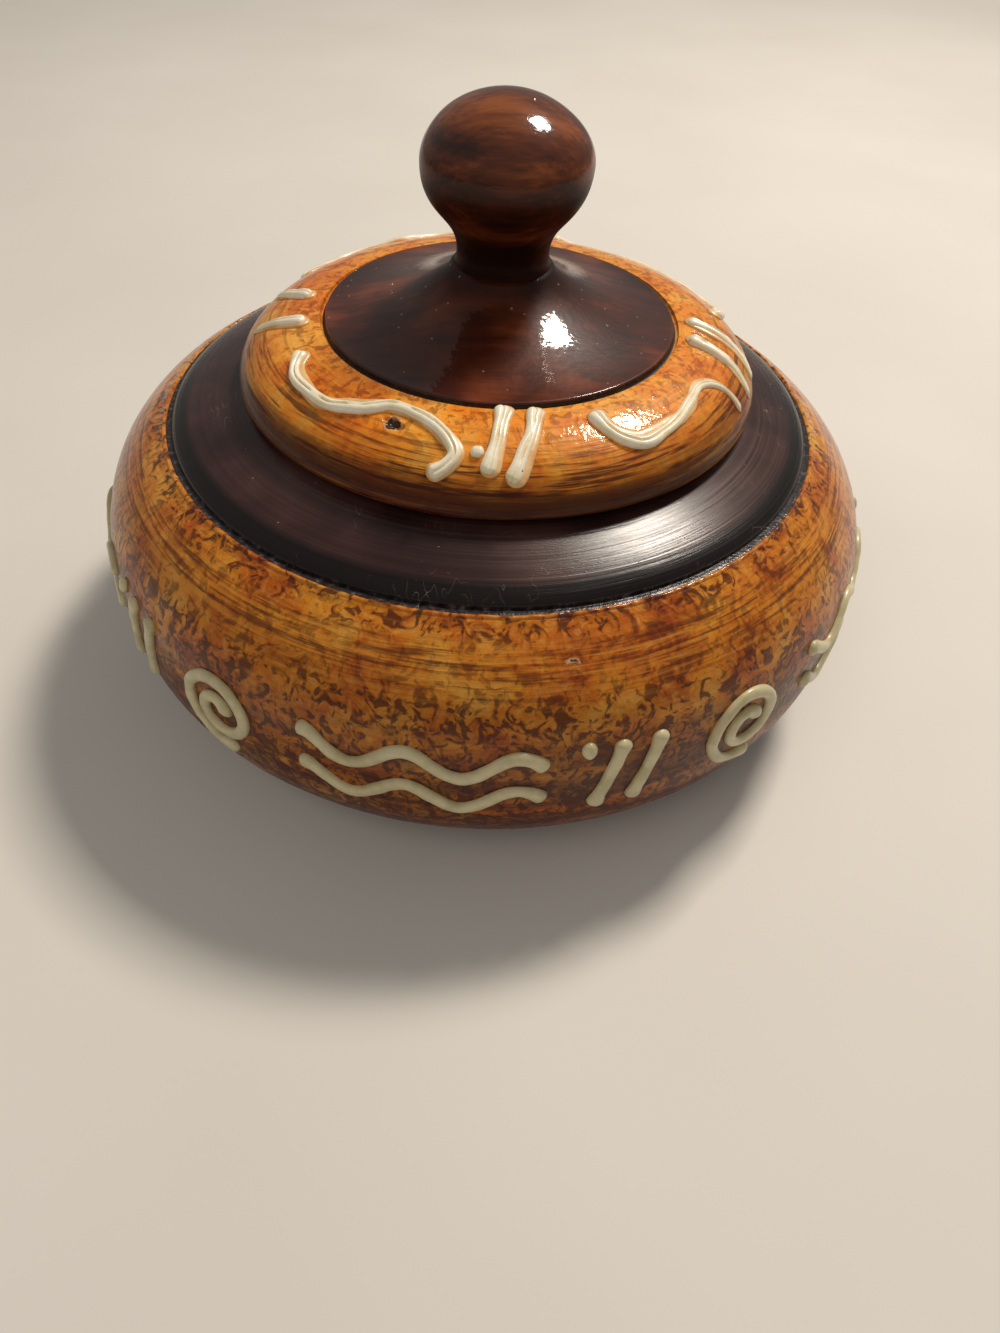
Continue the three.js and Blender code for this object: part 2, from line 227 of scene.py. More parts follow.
def paint_over(tree, share, strength, colour, other):
    """Lays another colour over a colour, by a share that is scaled first."""
    share = add_node(tree, "Math", {0: share, 1: strength}, operation="MULTIPLY")
    return add_node(tree, "Mix", {0: share, 6: colour, 7: linear(other)}, out=2, data_type="RGBA")


def flaw_over(tree, place, look, colour):
    """Lays a chip or a knot hole over a colour: dark inside, with a pale ragged edge."""
    squeeze = Vector((1.0, 1.0, look["flaw_flatness"]))
    flaw_place = Vector(look["flaw_place"]) * squeeze * MM
    flaw_reach = look["flaw_radius"]
    away = add_node(tree, "VectorMath", {0: place, 1: squeeze}, operation="MULTIPLY")
    away = add_node(tree, "VectorMath", {0: away, 1: flaw_place}, out="Value", operation="DISTANCE")
    ragged = add_node(tree, "TexNoise", {"Vector": place, "Scale": 1000 / 0.9, "Detail": 2.0})
    away = add_node(tree, "Math", {0: ragged, 1: 1.6 * MM, 2: away}, operation="MULTIPLY_ADD")
    limits = {"Value": away, "From Min": (flaw_reach + 1.15) * MM, "From Max": (flaw_reach + 0.85) * MM}
    edge = add_node(tree, "MapRange", limits)
    colour = paint_over(tree, edge, 0.7, colour, "#D8B58C")
    limits = {"Value": away, "From Min": (flaw_reach + 0.85) * MM, "From Max": (flaw_reach + 0.6) * MM}
    hole = add_node(tree, "MapRange", limits)
    return paint_over(tree, hole, 0.95, colour, "#2A130C")


# %% [markdown]
# The belly and the lid's rim have the same kind of finish, so one function makes both. A look says what
# differs: the tones, how strong the creases and rings are and where they lie, and the place of one chip or
# knot hole.

# %% Mottled orange varnish
def mottled_varnish(name, look):
    """Dabbed paint under gloss varnish. Places, heights and sizes in the look are in mm."""
    made, tree = start_material(name)
    place = add_node(tree, "TexCoord", out="Object")
    along = add_node(tree, "Attribute", out="Fac", attribute_name="along")
    height = add_node(tree, "SeparateXYZ", {0: place}, out="Z")
    low_start, low_end = look["lowness_heights"]
    limits = {"Value": height, "From Min": low_start * MM, "From Max": low_end * MM}
    lowness = add_node(tree, "MapRange", limits, interpolation_type="SMOOTHSTEP")

    # patches of tone
    bent = bend(tree, place, 9, 9)
    tone = add_node(tree, "TexNoise", {"Vector": bent, "Scale": 1000 / 11, "Detail": 5.0, "Roughness": 0.65})
    colour = add_node(tree, "ValToRGB", {0: tone}, stops=look["tones"])

    # creases in two sizes, dark where the noise is high and pale where it is low, and brushed out in the
    # ring band
    band = height_band(tree, height, *look["ring_band"])
    kept = add_node(tree, "MapRange", {"Value": band, "To Min": 1.0, "To Max": look["creases_in_rings"]})
    curled = bend(tree, place, 6.5, 24)
    wide = add_node(
        tree, "TexNoise", {"Vector": curled, "Scale": 1000 / 4.0, "Detail": 3.0, "Roughness": 0.5},
    )
    aside = add_node(tree, "VectorMath", {0: place, 1: (0.31, 0.17, 0.23)}, operation="ADD")
    aside = bend(tree, aside, 3.6, 11)
    small = add_node(
        tree, "TexNoise", {"Vector": aside, "Scale": 1000 / 2.5, "Detail": 2.0, "Roughness": 0.5},
    )
    denser = add_node(tree, "MapRange", {"Value": lowness, "To Min": 0.008, "To Max": 0.055})
    wide = add_node(tree, "Math", {0: wide, 1: denser}, operation="ADD")
    small = add_node(tree, "Math", {0: small, 1: denser}, operation="ADD")
    pale = add_node(tree, "MapRange", {"Value": small, "From Min": 0.46, "From Max": 0.33})
    pale = add_node(tree, "Math", {0: pale, 1: kept}, operation="MULTIPLY")
    colour = paint_over(tree, pale, 0.40, colour, "#DDA050")
    dark_wide = add_node(tree, "MapRange", {"Value": wide, "From Min": 0.55, "From Max": 0.65})
    dark_small = add_node(tree, "MapRange", {"Value": small, "From Min": 0.54, "From Max": 0.64})
    creases = add_node(tree, "Math", {0: dark_wide, 1: dark_small}, operation="MAXIMUM")
    creases = add_node(tree, "Math", {0: creases, 1: kept}, operation="MULTIPLY")
    colour = paint_over(tree, creases, look["crease_share"], colour, look["crease_colour"])

    # rings from the brush, 0.5 mm apart and 10 to 20 mm long
    flat = add_node(tree, "VectorMath", {0: place, 1: (110.0, 110.0, 0.0)}, operation="MULTIPLY")
    climb = add_node(tree, "Math", {0: along, 1: 1000 / 0.5}, operation="MULTIPLY")
    climb = add_node(tree, "CombineXYZ", {"Z": climb})
    wrapped = add_node(tree, "VectorMath", {0: flat, 1: climb}, operation="ADD")
    rings = add_node(tree, "TexNoise", {"Vector": wrapped, "Scale": 0.5, "Detail": 3.0, "Roughness": 0.7})
    band = add_node(tree, "MapRange", {"Value": band, "To Min": 0.18})
    dark_rings = add_node(tree, "MapRange", {"Value": rings, "From Min": 0.49, "From Max": 0.61})
    dark_rings = add_node(tree, "Math", {0: dark_rings, 1: band}, operation="MULTIPLY")
    colour = paint_over(tree, dark_rings, look["ring_share"], colour, "#4E1F08")
    pale_rings = add_node(tree, "MapRange", {"Value": rings, "From Min": 0.48, "From Max": 0.34})
    pale_rings = add_node(tree, "Math", {0: pale_rings, 1: band}, operation="MULTIPLY")
    colour = paint_over(tree, pale_rings, look["ring_share"] * 0.8, colour, "#CF8E38")

    # the colour darkens low down, in clouds drawn out along the rings: partly thicker, browner paint and
    # partly painted shade
    cloud = add_node(tree, "TexNoise", {"Vector": wrapped, "Scale": 0.14, "Detail": 4.0, "Roughness": 0.6})
    cloud = add_node(tree, "MapRange", {"Value": cloud, "From Min": 0.36, "From Max": 0.56, "To Min": 0.30})
    low = add_node(tree, "Math", {0: lowness, 1: cloud}, operation="MULTIPLY")
    colour = paint_over(tree, low, look["bottom_paint_and_shade_share"], colour, "#3A1206")

    colour = flaw_over(tree, place, look, colour)

    # the paint's relief, under a thick varnish that only half fills it
    relief = add_node(tree, "Math", {0: small, 1: wide})
    relief = add_node(tree, "Math", {0: relief, 1: kept}, operation="MULTIPLY")
    lumps = add_node(tree, "TexNoise", {"Vector": place, "Scale": 1000 / 2.2, "Detail": 1.0})
    at_lip = height_band(tree, height, low=53.0, full_low=53.6, full_high=54.5, high=54.8)
    lumps = add_node(tree, "Math", {0: lumps, 1: at_lip}, operation="MULTIPLY")
    relief = add_node(tree, "Math", {0: lumps, 1: 3.5, 2: relief}, operation="MULTIPLY_ADD")
    brushed = add_node(tree, "Math", {0: rings, 1: band}, operation="MULTIPLY")
    relief = add_node(tree, "Math", {0: brushed, 1: 0.9, 2: relief}, operation="MULTIPLY_ADD")
    paint_normal = add_node(tree, "Bump", {"Height": relief, "Distance": 0.16 * MM})
    coat_normal = add_node(tree, "Bump", {"Height": relief, "Distance": 0.09 * MM})
    matt = add_node(tree, "MapRange", {"Value": wide, "To Min": 0.34, "To Max": 0.5})
    varnish = add_node(tree, "MapRange", {"Value": lowness, "To Min": 0.7, "To Max": 0.25})
    finish = {
        "Base Color": colour,
        "Roughness": matt,
        "IOR": 1.5,
        "Specular IOR Level": 0.15,
        "Normal": paint_normal,
        "Coat Weight": varnish,
        "Coat IOR": 1.4,
        "Coat Roughness": 0.06,
        "Coat Normal": coat_normal,
    }
    surface = add_node(tree, "BsdfPrincipled", finish)
    add_node(tree, "OutputMaterial", {"Surface": surface})
    return made


belly_look = {
    "tones": [(0.30, "#8A3808"), (0.42, "#B45A0C"), (0.54, "#CC7C18"), (0.68, "#D89A3C")],
    "crease_colour": "#461706",
    "crease_share": 0.86,
    "creases_in_rings": 0.55,
    "lowness_heights": (52.0, 24.0),
    "bottom_paint_and_shade_share": 0.88,
    "ring_band": (44.0, 48.0, 51.0, 52.5),
    "ring_share": 0.75,
    "flaw_place": (13.9, -66.4, 49.9),
    "flaw_radius": 1.1,
    "flaw_flatness": 3.0,
}
rim_look = {
    "tones": [(0.30, "#C45608"), (0.42, "#E67C14"), (0.54, "#F49A28"), (0.70, "#FABA50")],
    "crease_colour": "#7A300A",
    "crease_share": 0.60,
    "creases_in_rings": 0.30,
    "lowness_heights": (70.6, 63.8),
    "bottom_paint_and_shade_share": 0.95,
    "ring_band": (56.0, 57.0, 68.0, 71.4),
    "ring_share": 0.90,
    "flaw_place": (-15.2, -35.4, 70.4),
    "flaw_radius": 1.3,
    "flaw_flatness": 1.0,
}
belly_paint = mottled_varnish("orange_mottled_paint_gloss_varnish", belly_look)
rim_paint = mottled_varnish("orange_brushed_paint_gloss_varnish", rim_look)
print("mottled varnishes:", belly_paint.name, rim_paint.name)

# %% [markdown]
# The shoulder is stained almost black over brown wood and rubbed with thin varnish. It was polished while
# it turned, so it has fine rings that stretch a highlight sideways, and it has dust specks and short
# scratches from use. On the narrow ledge outside it the stain is dark grey and gritty, and the orange paint
# creeps in over the lip's edge.

# %% Dark stained shoulder
def dust_specks(tree, place, spacing_mm, speck_mm, share):
    """Small round specks: 1 on a speck. Only some of the places on a jittered grid have one."""
    cells = {"Vector": place, "Scale": 1000 / spacing_mm, "Randomness": 1.0}
    near = add_node(tree, "TexVoronoi", cells, out="Distance")
    which = add_node(tree, "TexVoronoi", cells, out="Color")
    which = add_node(tree, "SeparateColor", {0: which})
    reach = speck_mm / spacing_mm / 2
    speck = add_node(tree, "MapRange", {"Value": near, "From Min": reach, "From Max": reach * 0.6})
    chosen = add_node(tree, "Math", {0: which, 1: share}, operation="LESS_THAN")
    return add_node(tree, "Math", {0: speck, 1: chosen}, operation="MULTIPLY")


shoulder_stain, tree = start_material("dark_stained_wood_satin_varnish")
place = add_node(tree, "TexCoord", out="Object")
along = add_node(tree, "Attribute", out="Fac", attribute_name="along")
height = add_node(tree, "SeparateXYZ", {0: place}, out="Z")
flat_place = add_node(tree, "VectorMath", {0: place, 1: (1.0, 1.0, 0.0)}, operation="MULTIPLY")
from_axis = add_node(tree, "VectorMath", {0: flat_place}, out="Value", operation="LENGTH")

flat = add_node(tree, "VectorMath", {0: place, 1: (14.0, 14.0, 0.0)}, operation="MULTIPLY")
climb = add_node(tree, "Math", {0: along, 1: 1000 / 0.3}, operation="MULTIPLY")
climb = add_node(tree, "CombineXYZ", {"Z": climb})
wrapped = add_node(tree, "VectorMath", {0: flat, 1: climb}, operation="ADD")
rings = add_node(tree, "TexNoise", {"Vector": wrapped, "Scale": 0.6, "Detail": 4.0, "Roughness": 0.7})
cloud = add_node(tree, "TexNoise", {"Vector": place, "Scale": 1000 / 18, "Detail": 3.0})
tone = add_node(tree, "Math", {0: rings, 1: 0.35, 2: cloud}, operation="MULTIPLY_ADD")
colour = add_node(
    tree, "ValToRGB", {0: tone}, stops=[(0.45, "#241313"), (0.65, "#35201E"), (0.85, "#4A302C")],
)

# painted shade: the shoulder's outer 3 mm, where it turns down away from the lamp, is painted near black,
# and neither that nor the ledge is meant inside the mouth
outside = add_node(tree, "MapRange", {"Value": from_axis, "From Min": 50.0 * MM, "From Max": 51.0 * MM})
limits = {"Value": height, "From Min": 56.9 * MM, "From Max": 56.35 * MM, "To Max": 0.95}
painted_shade_edge = add_node(tree, "MapRange", limits)
painted_shade_edge = add_node(tree, "Math", {0: painted_shade_edge, 1: outside}, operation="MULTIPLY")
colour = add_node(tree, "Mix", {0: painted_shade_edge, 6: colour, 7: linear("#0E0808")}, out=2, data_type="RGBA")

# the ledge, and the paint that creeps over its outer edge
ledge = add_node(tree, "MapRange", {"Value": height, "From Min": 54.9 * MM, "From Max": 54.2 * MM})
ledge = add_node(tree, "Math", {0: ledge, 1: outside}, operation="MULTIPLY")
grey = add_node(tree, "TexNoise", {"Vector": place, "Scale": 1000 / 1.2, "Detail": 3.0})
grey = add_node(tree, "ValToRGB", {0: grey}, stops=[(0.38, "#171314"), (0.56, "#2E2829"), (0.72, "#5E5658")])
colour = add_node(tree, "Mix", {0: ledge, 6: colour, 7: grey}, out=2, data_type="RGBA")
creep = add_node(tree, "TexNoise", {"Vector": place, "Scale": 1000 / 7, "Detail": 3.0})
creep = add_node(tree, "Math", {0: creep, 1: 1.6 * MM, 2: from_axis}, operation="MULTIPLY_ADD")
crept = add_node(tree, "MapRange", {"Value": creep, "From Min": 62.0 * MM, "From Max": 62.15 * MM})
crept = add_node(tree, "Math", {0: crept, 1: ledge}, operation="MULTIPLY")
colour = add_node(tree, "Mix", {0: crept, 6: colour, 7: linear("#B8601F")}, out=2, data_type="RGBA")

# dust, and scratches 0.15 mm wide and 3 to 8 mm long, drawn as wide as the render can show
specks = dust_specks(tree, place, spacing_mm=2.6, speck_mm=0.34, share=0.30)
long_way = add_node(tree, "VectorMath", {0: place, 1: (620.0, 170.0, 400.0)}, operation="MULTIPLY")
scratch = add_node(tree, "TexNoise", {"Vector": long_way, "Scale": 1.0, "Detail": 0.0, "Distortion": 0.5})
scratch = add_node(tree, "Math", {0: scratch, 1: 0.5}, operation="SUBTRACT")
scratch = add_node(tree, "Math", {0: scratch}, operation="ABSOLUTE")
scratch = add_node(tree, "MapRange", {"Value": scratch, "From Min": 0.006, "From Max": 0.002})
where = add_node(tree, "TexNoise", {"Vector": place, "Scale": 1000 / 9, "Detail": 2.0})
where = add_node(tree, "MapRange", {"Value": where, "From Min": 0.58, "From Max": 0.66})
scratch = add_node(tree, "Math", {0: scratch, 1: where}, operation="MULTIPLY")
marks = add_node(tree, "Math", {0: specks, 1: scratch}, operation="MAXIMUM")
colour = paint_over(tree, marks, 0.55, colour, "#8F857E")

relief = add_node(tree, "Math", {0: rings, 1: 1.3, 2: specks}, operation="MULTIPLY_ADD")
grit = add_node(tree, "TexNoise", {"Vector": place, "Scale": 1000 / 0.5, "Detail": 2.0})
grit = add_node(tree, "Math", {0: grit, 1: ledge}, operation="MULTIPLY")
relief = add_node(tree, "Math", {0: grit, 1: 1.6, 2: relief}, operation="MULTIPLY_ADD")
normal = add_node(tree, "Bump", {"Height": relief, "Distance": 0.045 * MM})
limits = {"Value": rings, "From Min": 0.3, "From Max": 0.7, "To Min": 0.20, "To Max": 0.34}
worn = add_node(tree, "MapRange", limits)
finish = {
    "Base Color": colour,
    "Roughness": worn,
    "IOR": 1.42,
    "Specular IOR Level": 0.4,
    "Normal": normal,
    "Coat Weight": 0.25,
    "Coat Roughness": 0.16,
    "Coat Normal": normal,
}
surface = add_node(tree, "BsdfPrincipled", finish)
add_node(tree, "OutputMaterial", {"Surface": surface})
print("shoulder:", shoulder_stain.name)

# %% [markdown]
# The cone is stained mahogany red-brown under a poured gloss varnish. The varnish has a faint orange-peel
# texture and hard nibs where dust dried in it, which glint; they are painted pale, partly as dust and partly
# as painted highlight. Under the neck the varnish is rubbed thin, and the colour there is darkened as painted
# shade and painted reflection of the knob. The groove round the cone's foot is painted black, as painted
# shade.

# %% Red-brown cone
cone_gloss, tree = start_material("mahogany_stained_wood_gloss_varnish")
place = add_node(tree, "TexCoord", out="Object")
height = add_node(tree, "SeparateXYZ", {0: place}, out="Z")
stretch = add_node(tree, "VectorMath", {0: place, 1: (60.0, 420.0, 420.0)}, operation="MULTIPLY")
grain = add_node(tree, "TexNoise", {"Vector": stretch, "Scale": 1.0, "Detail": 4.0, "Roughness": 0.6})
cloud = add_node(tree, "TexNoise", {"Vector": place, "Scale": 1000 / 16, "Detail": 3.0})
tone = add_node(tree, "Math", {0: grain, 1: 0.4, 2: cloud}, operation="MULTIPLY_ADD")
colour = add_node(
    tree, "ValToRGB", {0: tone}, stops=[(0.50, "#2E110B"), (0.70, "#481C0D"), (0.88, "#74361A")],
)

peel = add_node(tree, "TexNoise", {"Vector": place, "Scale": 1000 / 1.3, "Detail": 1.0})
nibs = dust_specks(tree, place, spacing_mm=2.1, speck_mm=0.55, share=0.40)
# painted shade and painted reflection of the knob: the cone darkens towards the neck
limits = {"Value": height, "From Min": 75.0 * MM, "From Max": 80.0 * MM, "To Max": 0.8}
painted_shading = add_node(tree, "MapRange", limits)
colour = add_node(tree, "Mix", {0: painted_shading, 6: colour, 7: linear("#1A0A07")}, out=2, data_type="RGBA")
# the nibs are painted pale: partly dust, partly painted highlight for their glints
colour = paint_over(tree, nibs, 0.4, colour, "#B09C90")
limits = {"Value": height, "From Min": 79.0 * MM, "From Max": 76.0 * MM, "To Min": 0.15, "To Max": 0.75}
varnish = add_node(tree, "MapRange", limits)
relief = add_node(tree, "Math", {0: nibs, 1: 3.6, 2: peel}, operation="MULTIPLY_ADD")
relief = add_node(tree, "Math", {0: grain, 1: 0.35, 2: relief}, operation="MULTIPLY_ADD")
normal = add_node(tree, "Bump", {"Height": relief, "Distance": 0.035 * MM})
finish = {
    "Base Color": colour,
    "Roughness": 0.4,
    "IOR": 1.5,
    "Specular IOR Level": 0.15,
    "Coat Weight": varnish,
    "Coat Roughness": 0.06,
    "Coat Normal": normal,
    "Normal": normal,
}
surface = add_node(tree, "BsdfPrincipled", finish)
add_node(tree, "OutputMaterial", {"Surface": surface})
print("cone:", cone_gloss.name)

# %% [markdown]
# The groove's finish is the plainest here: black as painted shade, dull and dusty.

# %% Painted shade in the groove
groove_painted_shade, tree = start_material("groove_painted_shade_black_matt")
place = add_node(tree, "TexCoord", out="Object")
dust = add_node(tree, "TexNoise", {"Vector": place, "Scale": 1000 / 0.8, "Detail": 3.0})
# painted shade: the groove is painted black, with some dust
colour = add_node(tree, "ValToRGB", {0: dust}, stops=[(0.45, "#0D0A09"), (0.7, "#2B2521")])
normal = add_node(tree, "Bump", {"Height": dust, "Distance": 0.04 * MM})
surface = add_node(tree, "BsdfPrincipled", {"Base Color": colour, "Roughness": 0.5, "Normal": normal})
add_node(tree, "OutputMaterial", {"Surface": surface})
print("groove:", groove_painted_shade.name)

# %% [markdown]
# The knob is a plain hardwood such as mahogany, with its grain lying level from left to right, and varnished.
# Its colour is painted darker low down as painted shade and lighter on top as painted light. The grain is
# noise drawn out seven times along X, with fibres about 0.8 mm apart.
# Fingers have worn the varnish away below the ball's middle, and an orange streak of paler wood lies on the
# right of its top.

# %% Knob wood
knob_wood, tree = start_material("mahogany_gloss_varnish")
place = add_node(tree, "TexCoord", out="Object")
height = add_node(tree, "SeparateXYZ", {0: place}, out="Z")
stretch = add_node(
    tree, "VectorMath", {0: place, 1: (1000 / 6, 1000 / 0.8, 1000 / 0.8)}, operation="MULTIPLY",
)
fibres = add_node(tree, "TexNoise", {"Vector": stretch, "Scale": 1.0, "Detail": 4.0, "Roughness": 0.6})
figure = add_node(tree, "VectorMath", {0: place, 1: (1000 / 40, 1000 / 7, 1000 / 7)}, operation="MULTIPLY")
figure = add_node(tree, "TexNoise", {"Vector": figure, "Scale": 1.0, "Detail": 3.0, "Distortion": 0.6})
tone = add_node(tree, "Math", {0: fibres, 1: 0.35, 2: figure}, operation="MULTIPLY_ADD")
# painted shade low on the ball and painted light on its top
limits = {"Value": height, "From Min": 92.0 * MM, "From Max": 104.0 * MM, "To Min": -0.14, "To Max": 0.10}
painted_shading = add_node(tree, "MapRange", limits)
tone = add_node(tree, "Math", {0: tone, 1: painted_shading}, operation="ADD")
colour = add_node(
    tree, "ValToRGB", {0: tone},
    stops=[(0.42, "#1E0C07"), (0.60, "#3A180B"), (0.76, "#5E2C14"), (0.92, "#8A4A22")],
)
streak = add_node(tree, "VectorMath", {0: place, 1: (1.0, 1.0, 0.45)}, operation="MULTIPLY")
streak = {0: streak, 1: Vector((10.0, -7.1, 105.5 * 0.45)) * MM}
streak = add_node(tree, "VectorMath", streak, out="Value", operation="DISTANCE")
streak = add_node(tree, "Math", {0: fibres, 1: 1.2 * MM, 2: streak}, operation="MULTIPLY_ADD")
streak = add_node(
    tree, "MapRange", {"Value": streak, "From Min": 1.7 * MM, "From Max": 0.9 * MM, "To Max": 0.7},
)
colour = add_node(tree, "Mix", {0: streak, 6: colour, 7: linear("#B4622A")}, out=2, data_type="RGBA")
peel = add_node(tree, "TexNoise", {"Vector": place, "Scale": 1000 / 1.5, "Detail": 1.0})
crinkle = add_node(tree, "TexNoise", {"Vector": place, "Scale": 1000 / 0.55, "Detail": 2.0})
nibs = dust_specks(tree, place, spacing_mm=4.5, speck_mm=0.9, share=0.12)
limits = {"Value": height, "From Min": 95.0 * MM, "From Max": 102.0 * MM, "To Min": 0.03, "To Max": 0.9}
varnish = add_node(tree, "MapRange", limits)
relief = add_node(tree, "Math", {0: fibres, 1: 0.5, 2: peel}, operation="MULTIPLY_ADD")
relief = add_node(tree, "Math", {0: crinkle, 1: 0.9, 2: relief}, operation="MULTIPLY_ADD")
relief = add_node(tree, "Math", {0: nibs, 1: 2.5, 2: relief}, operation="MULTIPLY_ADD")
normal = add_node(tree, "Bump", {"Height": relief, "Distance": 0.025 * MM})
finish = {
    "Base Color": colour,
    "Roughness": 0.42,
    "IOR": 1.5,
    "Specular IOR Level": 0.03,
    "Normal": normal,
    "Coat Weight": varnish,
    "Coat IOR": 1.6,
    "Coat Roughness": 0.08,
    "Coat Normal": normal,
}
surface = add_node(tree, "BsdfPrincipled", finish)
add_node(tree, "OutputMaterial", {"Surface": surface})
print("knob:", knob_wood.name)

# %% [markdown]
# Inside, and under the base, such a bowl is left as it came off the lathe: pale brown bare wood with tool
# rings.

# %% Bare turned wood
bare_wood, tree = start_material("mahogany_bare_turned")
place = add_node(tree, "TexCoord", out="Object")
along = add_node(tree, "Attribute", out="Fac", attribute_name="along")
stretch = add_node(
    tree, "VectorMath", {0: place, 1: (1000 / 9, 1000 / 1.1, 1000 / 1.1)}, operation="MULTIPLY",
)
fibres = add_node(tree, "TexNoise", {"Vector": stretch, "Scale": 1.0, "Detail": 4.0, "Roughness": 0.65})
colour = add_node(tree, "ValToRGB", {0: fibres}, stops=[(0.3, "#6E4227"), (0.5, "#8E5B38"), (0.7, "#A9744B")])
tool = add_node(tree, "Math", {0: along, 1: FULL_TURN * 1000 / 1.4}, operation="MULTIPLY")
tool = add_node(tree, "Math", {0: tool}, operation="SINE")
relief = add_node(tree, "Math", {0: fibres, 1: 2.0, 2: tool}, operation="MULTIPLY_ADD")
normal = add_node(tree, "Bump", {"Height": relief, "Distance": 0.03 * MM})
surface = add_node(tree, "BsdfPrincipled", {"Base Color": colour, "Roughness": 0.62, "Normal": normal})
add_node(tree, "OutputMaterial", {"Surface": surface})
print("bare wood:", bare_wood.name)

# %% [markdown]
# The paste is thick craft paint from a squeeze bottle. It dries to a soft sheen with small pinholes where
# bubbles burst. On the lid a second, whiter line lies over a first, peach-coloured one that has yellowed
# under the varnish.

# %% Cream paste
def squeezed_paste(name, light, dark, hole_share):
    """Dried paste with pinholes 0.3 mm across."""
    made, tree = start_material(name)
    place = add_node(tree, "TexCoord", out="Object")
    cloud = add_node(tree, "TexNoise", {"Vector": place, "Scale": 1000 / 4, "Detail": 3.0})
    colour = add_node(tree, "ValToRGB", {0: cloud}, stops=[(0.35, dark), (0.6, light)])
    holes = dust_specks(tree, place, spacing_mm=1.7, speck_mm=0.42, share=hole_share)
    colour = paint_over(tree, holes, 0.8, colour, "#3B2A1C")
    skin = add_node(tree, "TexNoise", {"Vector": place, "Scale": 1000 / 0.9, "Detail": 2.0})
    relief = add_node(tree, "Math", {0: holes, 1: -2.0, 2: skin}, operation="MULTIPLY_ADD")
    normal = add_node(tree, "Bump", {"Height": relief, "Distance": 0.06 * MM})
    finish = {
        "Base Color": colour,
        "Roughness": 0.42,
        "Normal": normal,
        "Coat Weight": 0.4,
        "Coat Roughness": 0.18,
    }
    surface = add_node(tree, "BsdfPrincipled", finish)
    add_node(tree, "OutputMaterial", {"Surface": surface})
    return made


white_paste = squeezed_paste("cream_paint_paste_satin", "#F7EFD8", "#E9DCB8", 0.06)
peach_paste = squeezed_paste("yellowed_paint_paste_gloss", "#E6BE84", "#D59A58", 0.04)
# the belly's paste is the lid's cream, yellowed, and painted darker as painted shade
belly_paste = squeezed_paste("yellowed_cream_paste_with_painted_shade_satin", "#CDC198", "#B5A97E", 0.05)
print("pastes:", white_paste.name, peach_paste.name, belly_paste.name)

# %% [markdown]
# Next come the turned pieces. On a lathe the wood spins and the tool follows an outline. Here the outline
# is a line of points in one upright plane, and the spin operator sweeps it round the axis. Each point also
# stores how far along the outline it lies, in an attribute that the spin copies, so that the materials can
# draw rings.

# %% Lathe helpers
def round_curve(centre, across, up, power, start, end, steps):
    """Points of a rounded curve about a centre, from one angle to another. A power of 2 is an ellipse."""
    points = []
    for i in range(steps + 1):
        angle = math.radians(start + (end - start) * i / steps)
        cosine = math.cos(angle)
        sine = math.sin(angle)
        radius = centre[0] + across * math.copysign(abs(cosine) ** (2 / power), cosine)
        height = centre[1] + up * math.copysign(abs(sine) ** (2 / power), sine)
        points.append((radius, height))
    return points


def rounded_corner(before, corner, after, reach, steps=3):
    """Points that round off one corner of an outline."""
    at = Vector(corner)
    start = at + (Vector(before) - at).normalized() * reach
    end = at + (Vector(after) - at).normalized() * reach
    curve = interpolate_bezier(start, at.lerp(start, 0.4), at.lerp(end, 0.4), end, steps + 1)
    return [tuple(point) for point in curve]


def straight(start, end, steps):
    """Points from start to end, without the last one."""
    return [tuple(Vector(start).lerp(Vector(end), i / steps)) for i in range(steps)]


def spin_outline(outline, sides):
    """Turns an outline of (radius, height) in mm into a closed round solid."""
    mesh = bmesh.new()
    along = mesh.verts.layers.float.new("along")
    travelled = 0.0
    last = None
    for radius, height in outline:
        vert = mesh.verts.new((radius * MM, 0.0, height * MM))
        if last:
            travelled += (vert.co - last.co).length
            mesh.edges.new((last, vert))
        vert[along] = travelled
        last = vert
    swept = mesh.verts[:] + mesh.edges[:]
    bmesh.ops.spin(
        mesh, geom=swept, cent=(0, 0, 0), axis=(0, 0, 1), dvec=(0, 0, 0),
        angle=FULL_TURN, steps=sides, use_merge=True,
    )
    bmesh.ops.remove_doubles(mesh, verts=mesh.verts, dist=0.0002 * MM)
    bmesh.ops.recalc_face_normals(mesh, faces=mesh.faces)
    return mesh


# %% [markdown]
# A turned piece isn't perfect. One more helper pushes a point in or out, another presses small pits, and
# between them stands the one that makes a finished mesh into an object.

# %% Helpers for finished pieces
def push_out(vert, sway, radius):
    """Moves a point that is radius mm from the axis outwards by sway mm."""
    vert.co.x *= 1 + sway / radius
    vert.co.y *= 1 + sway / radius


def show_piece(mesh, name, materials, sharp):
    """Makes a finished mesh into an object at the origin."""
    for face in mesh.faces:
        face.smooth = True
    data = bpy.data.meshes.new(name)
    mesh.to_mesh(data)
    mesh.free()
    for each in materials:
        data.materials.append(each)
    data.set_sharp_from_angle(angle=math.radians(sharp))
    made = bpy.data.objects.new(name, data)
    bpy.context.scene.collection.objects.link(made)
    return made


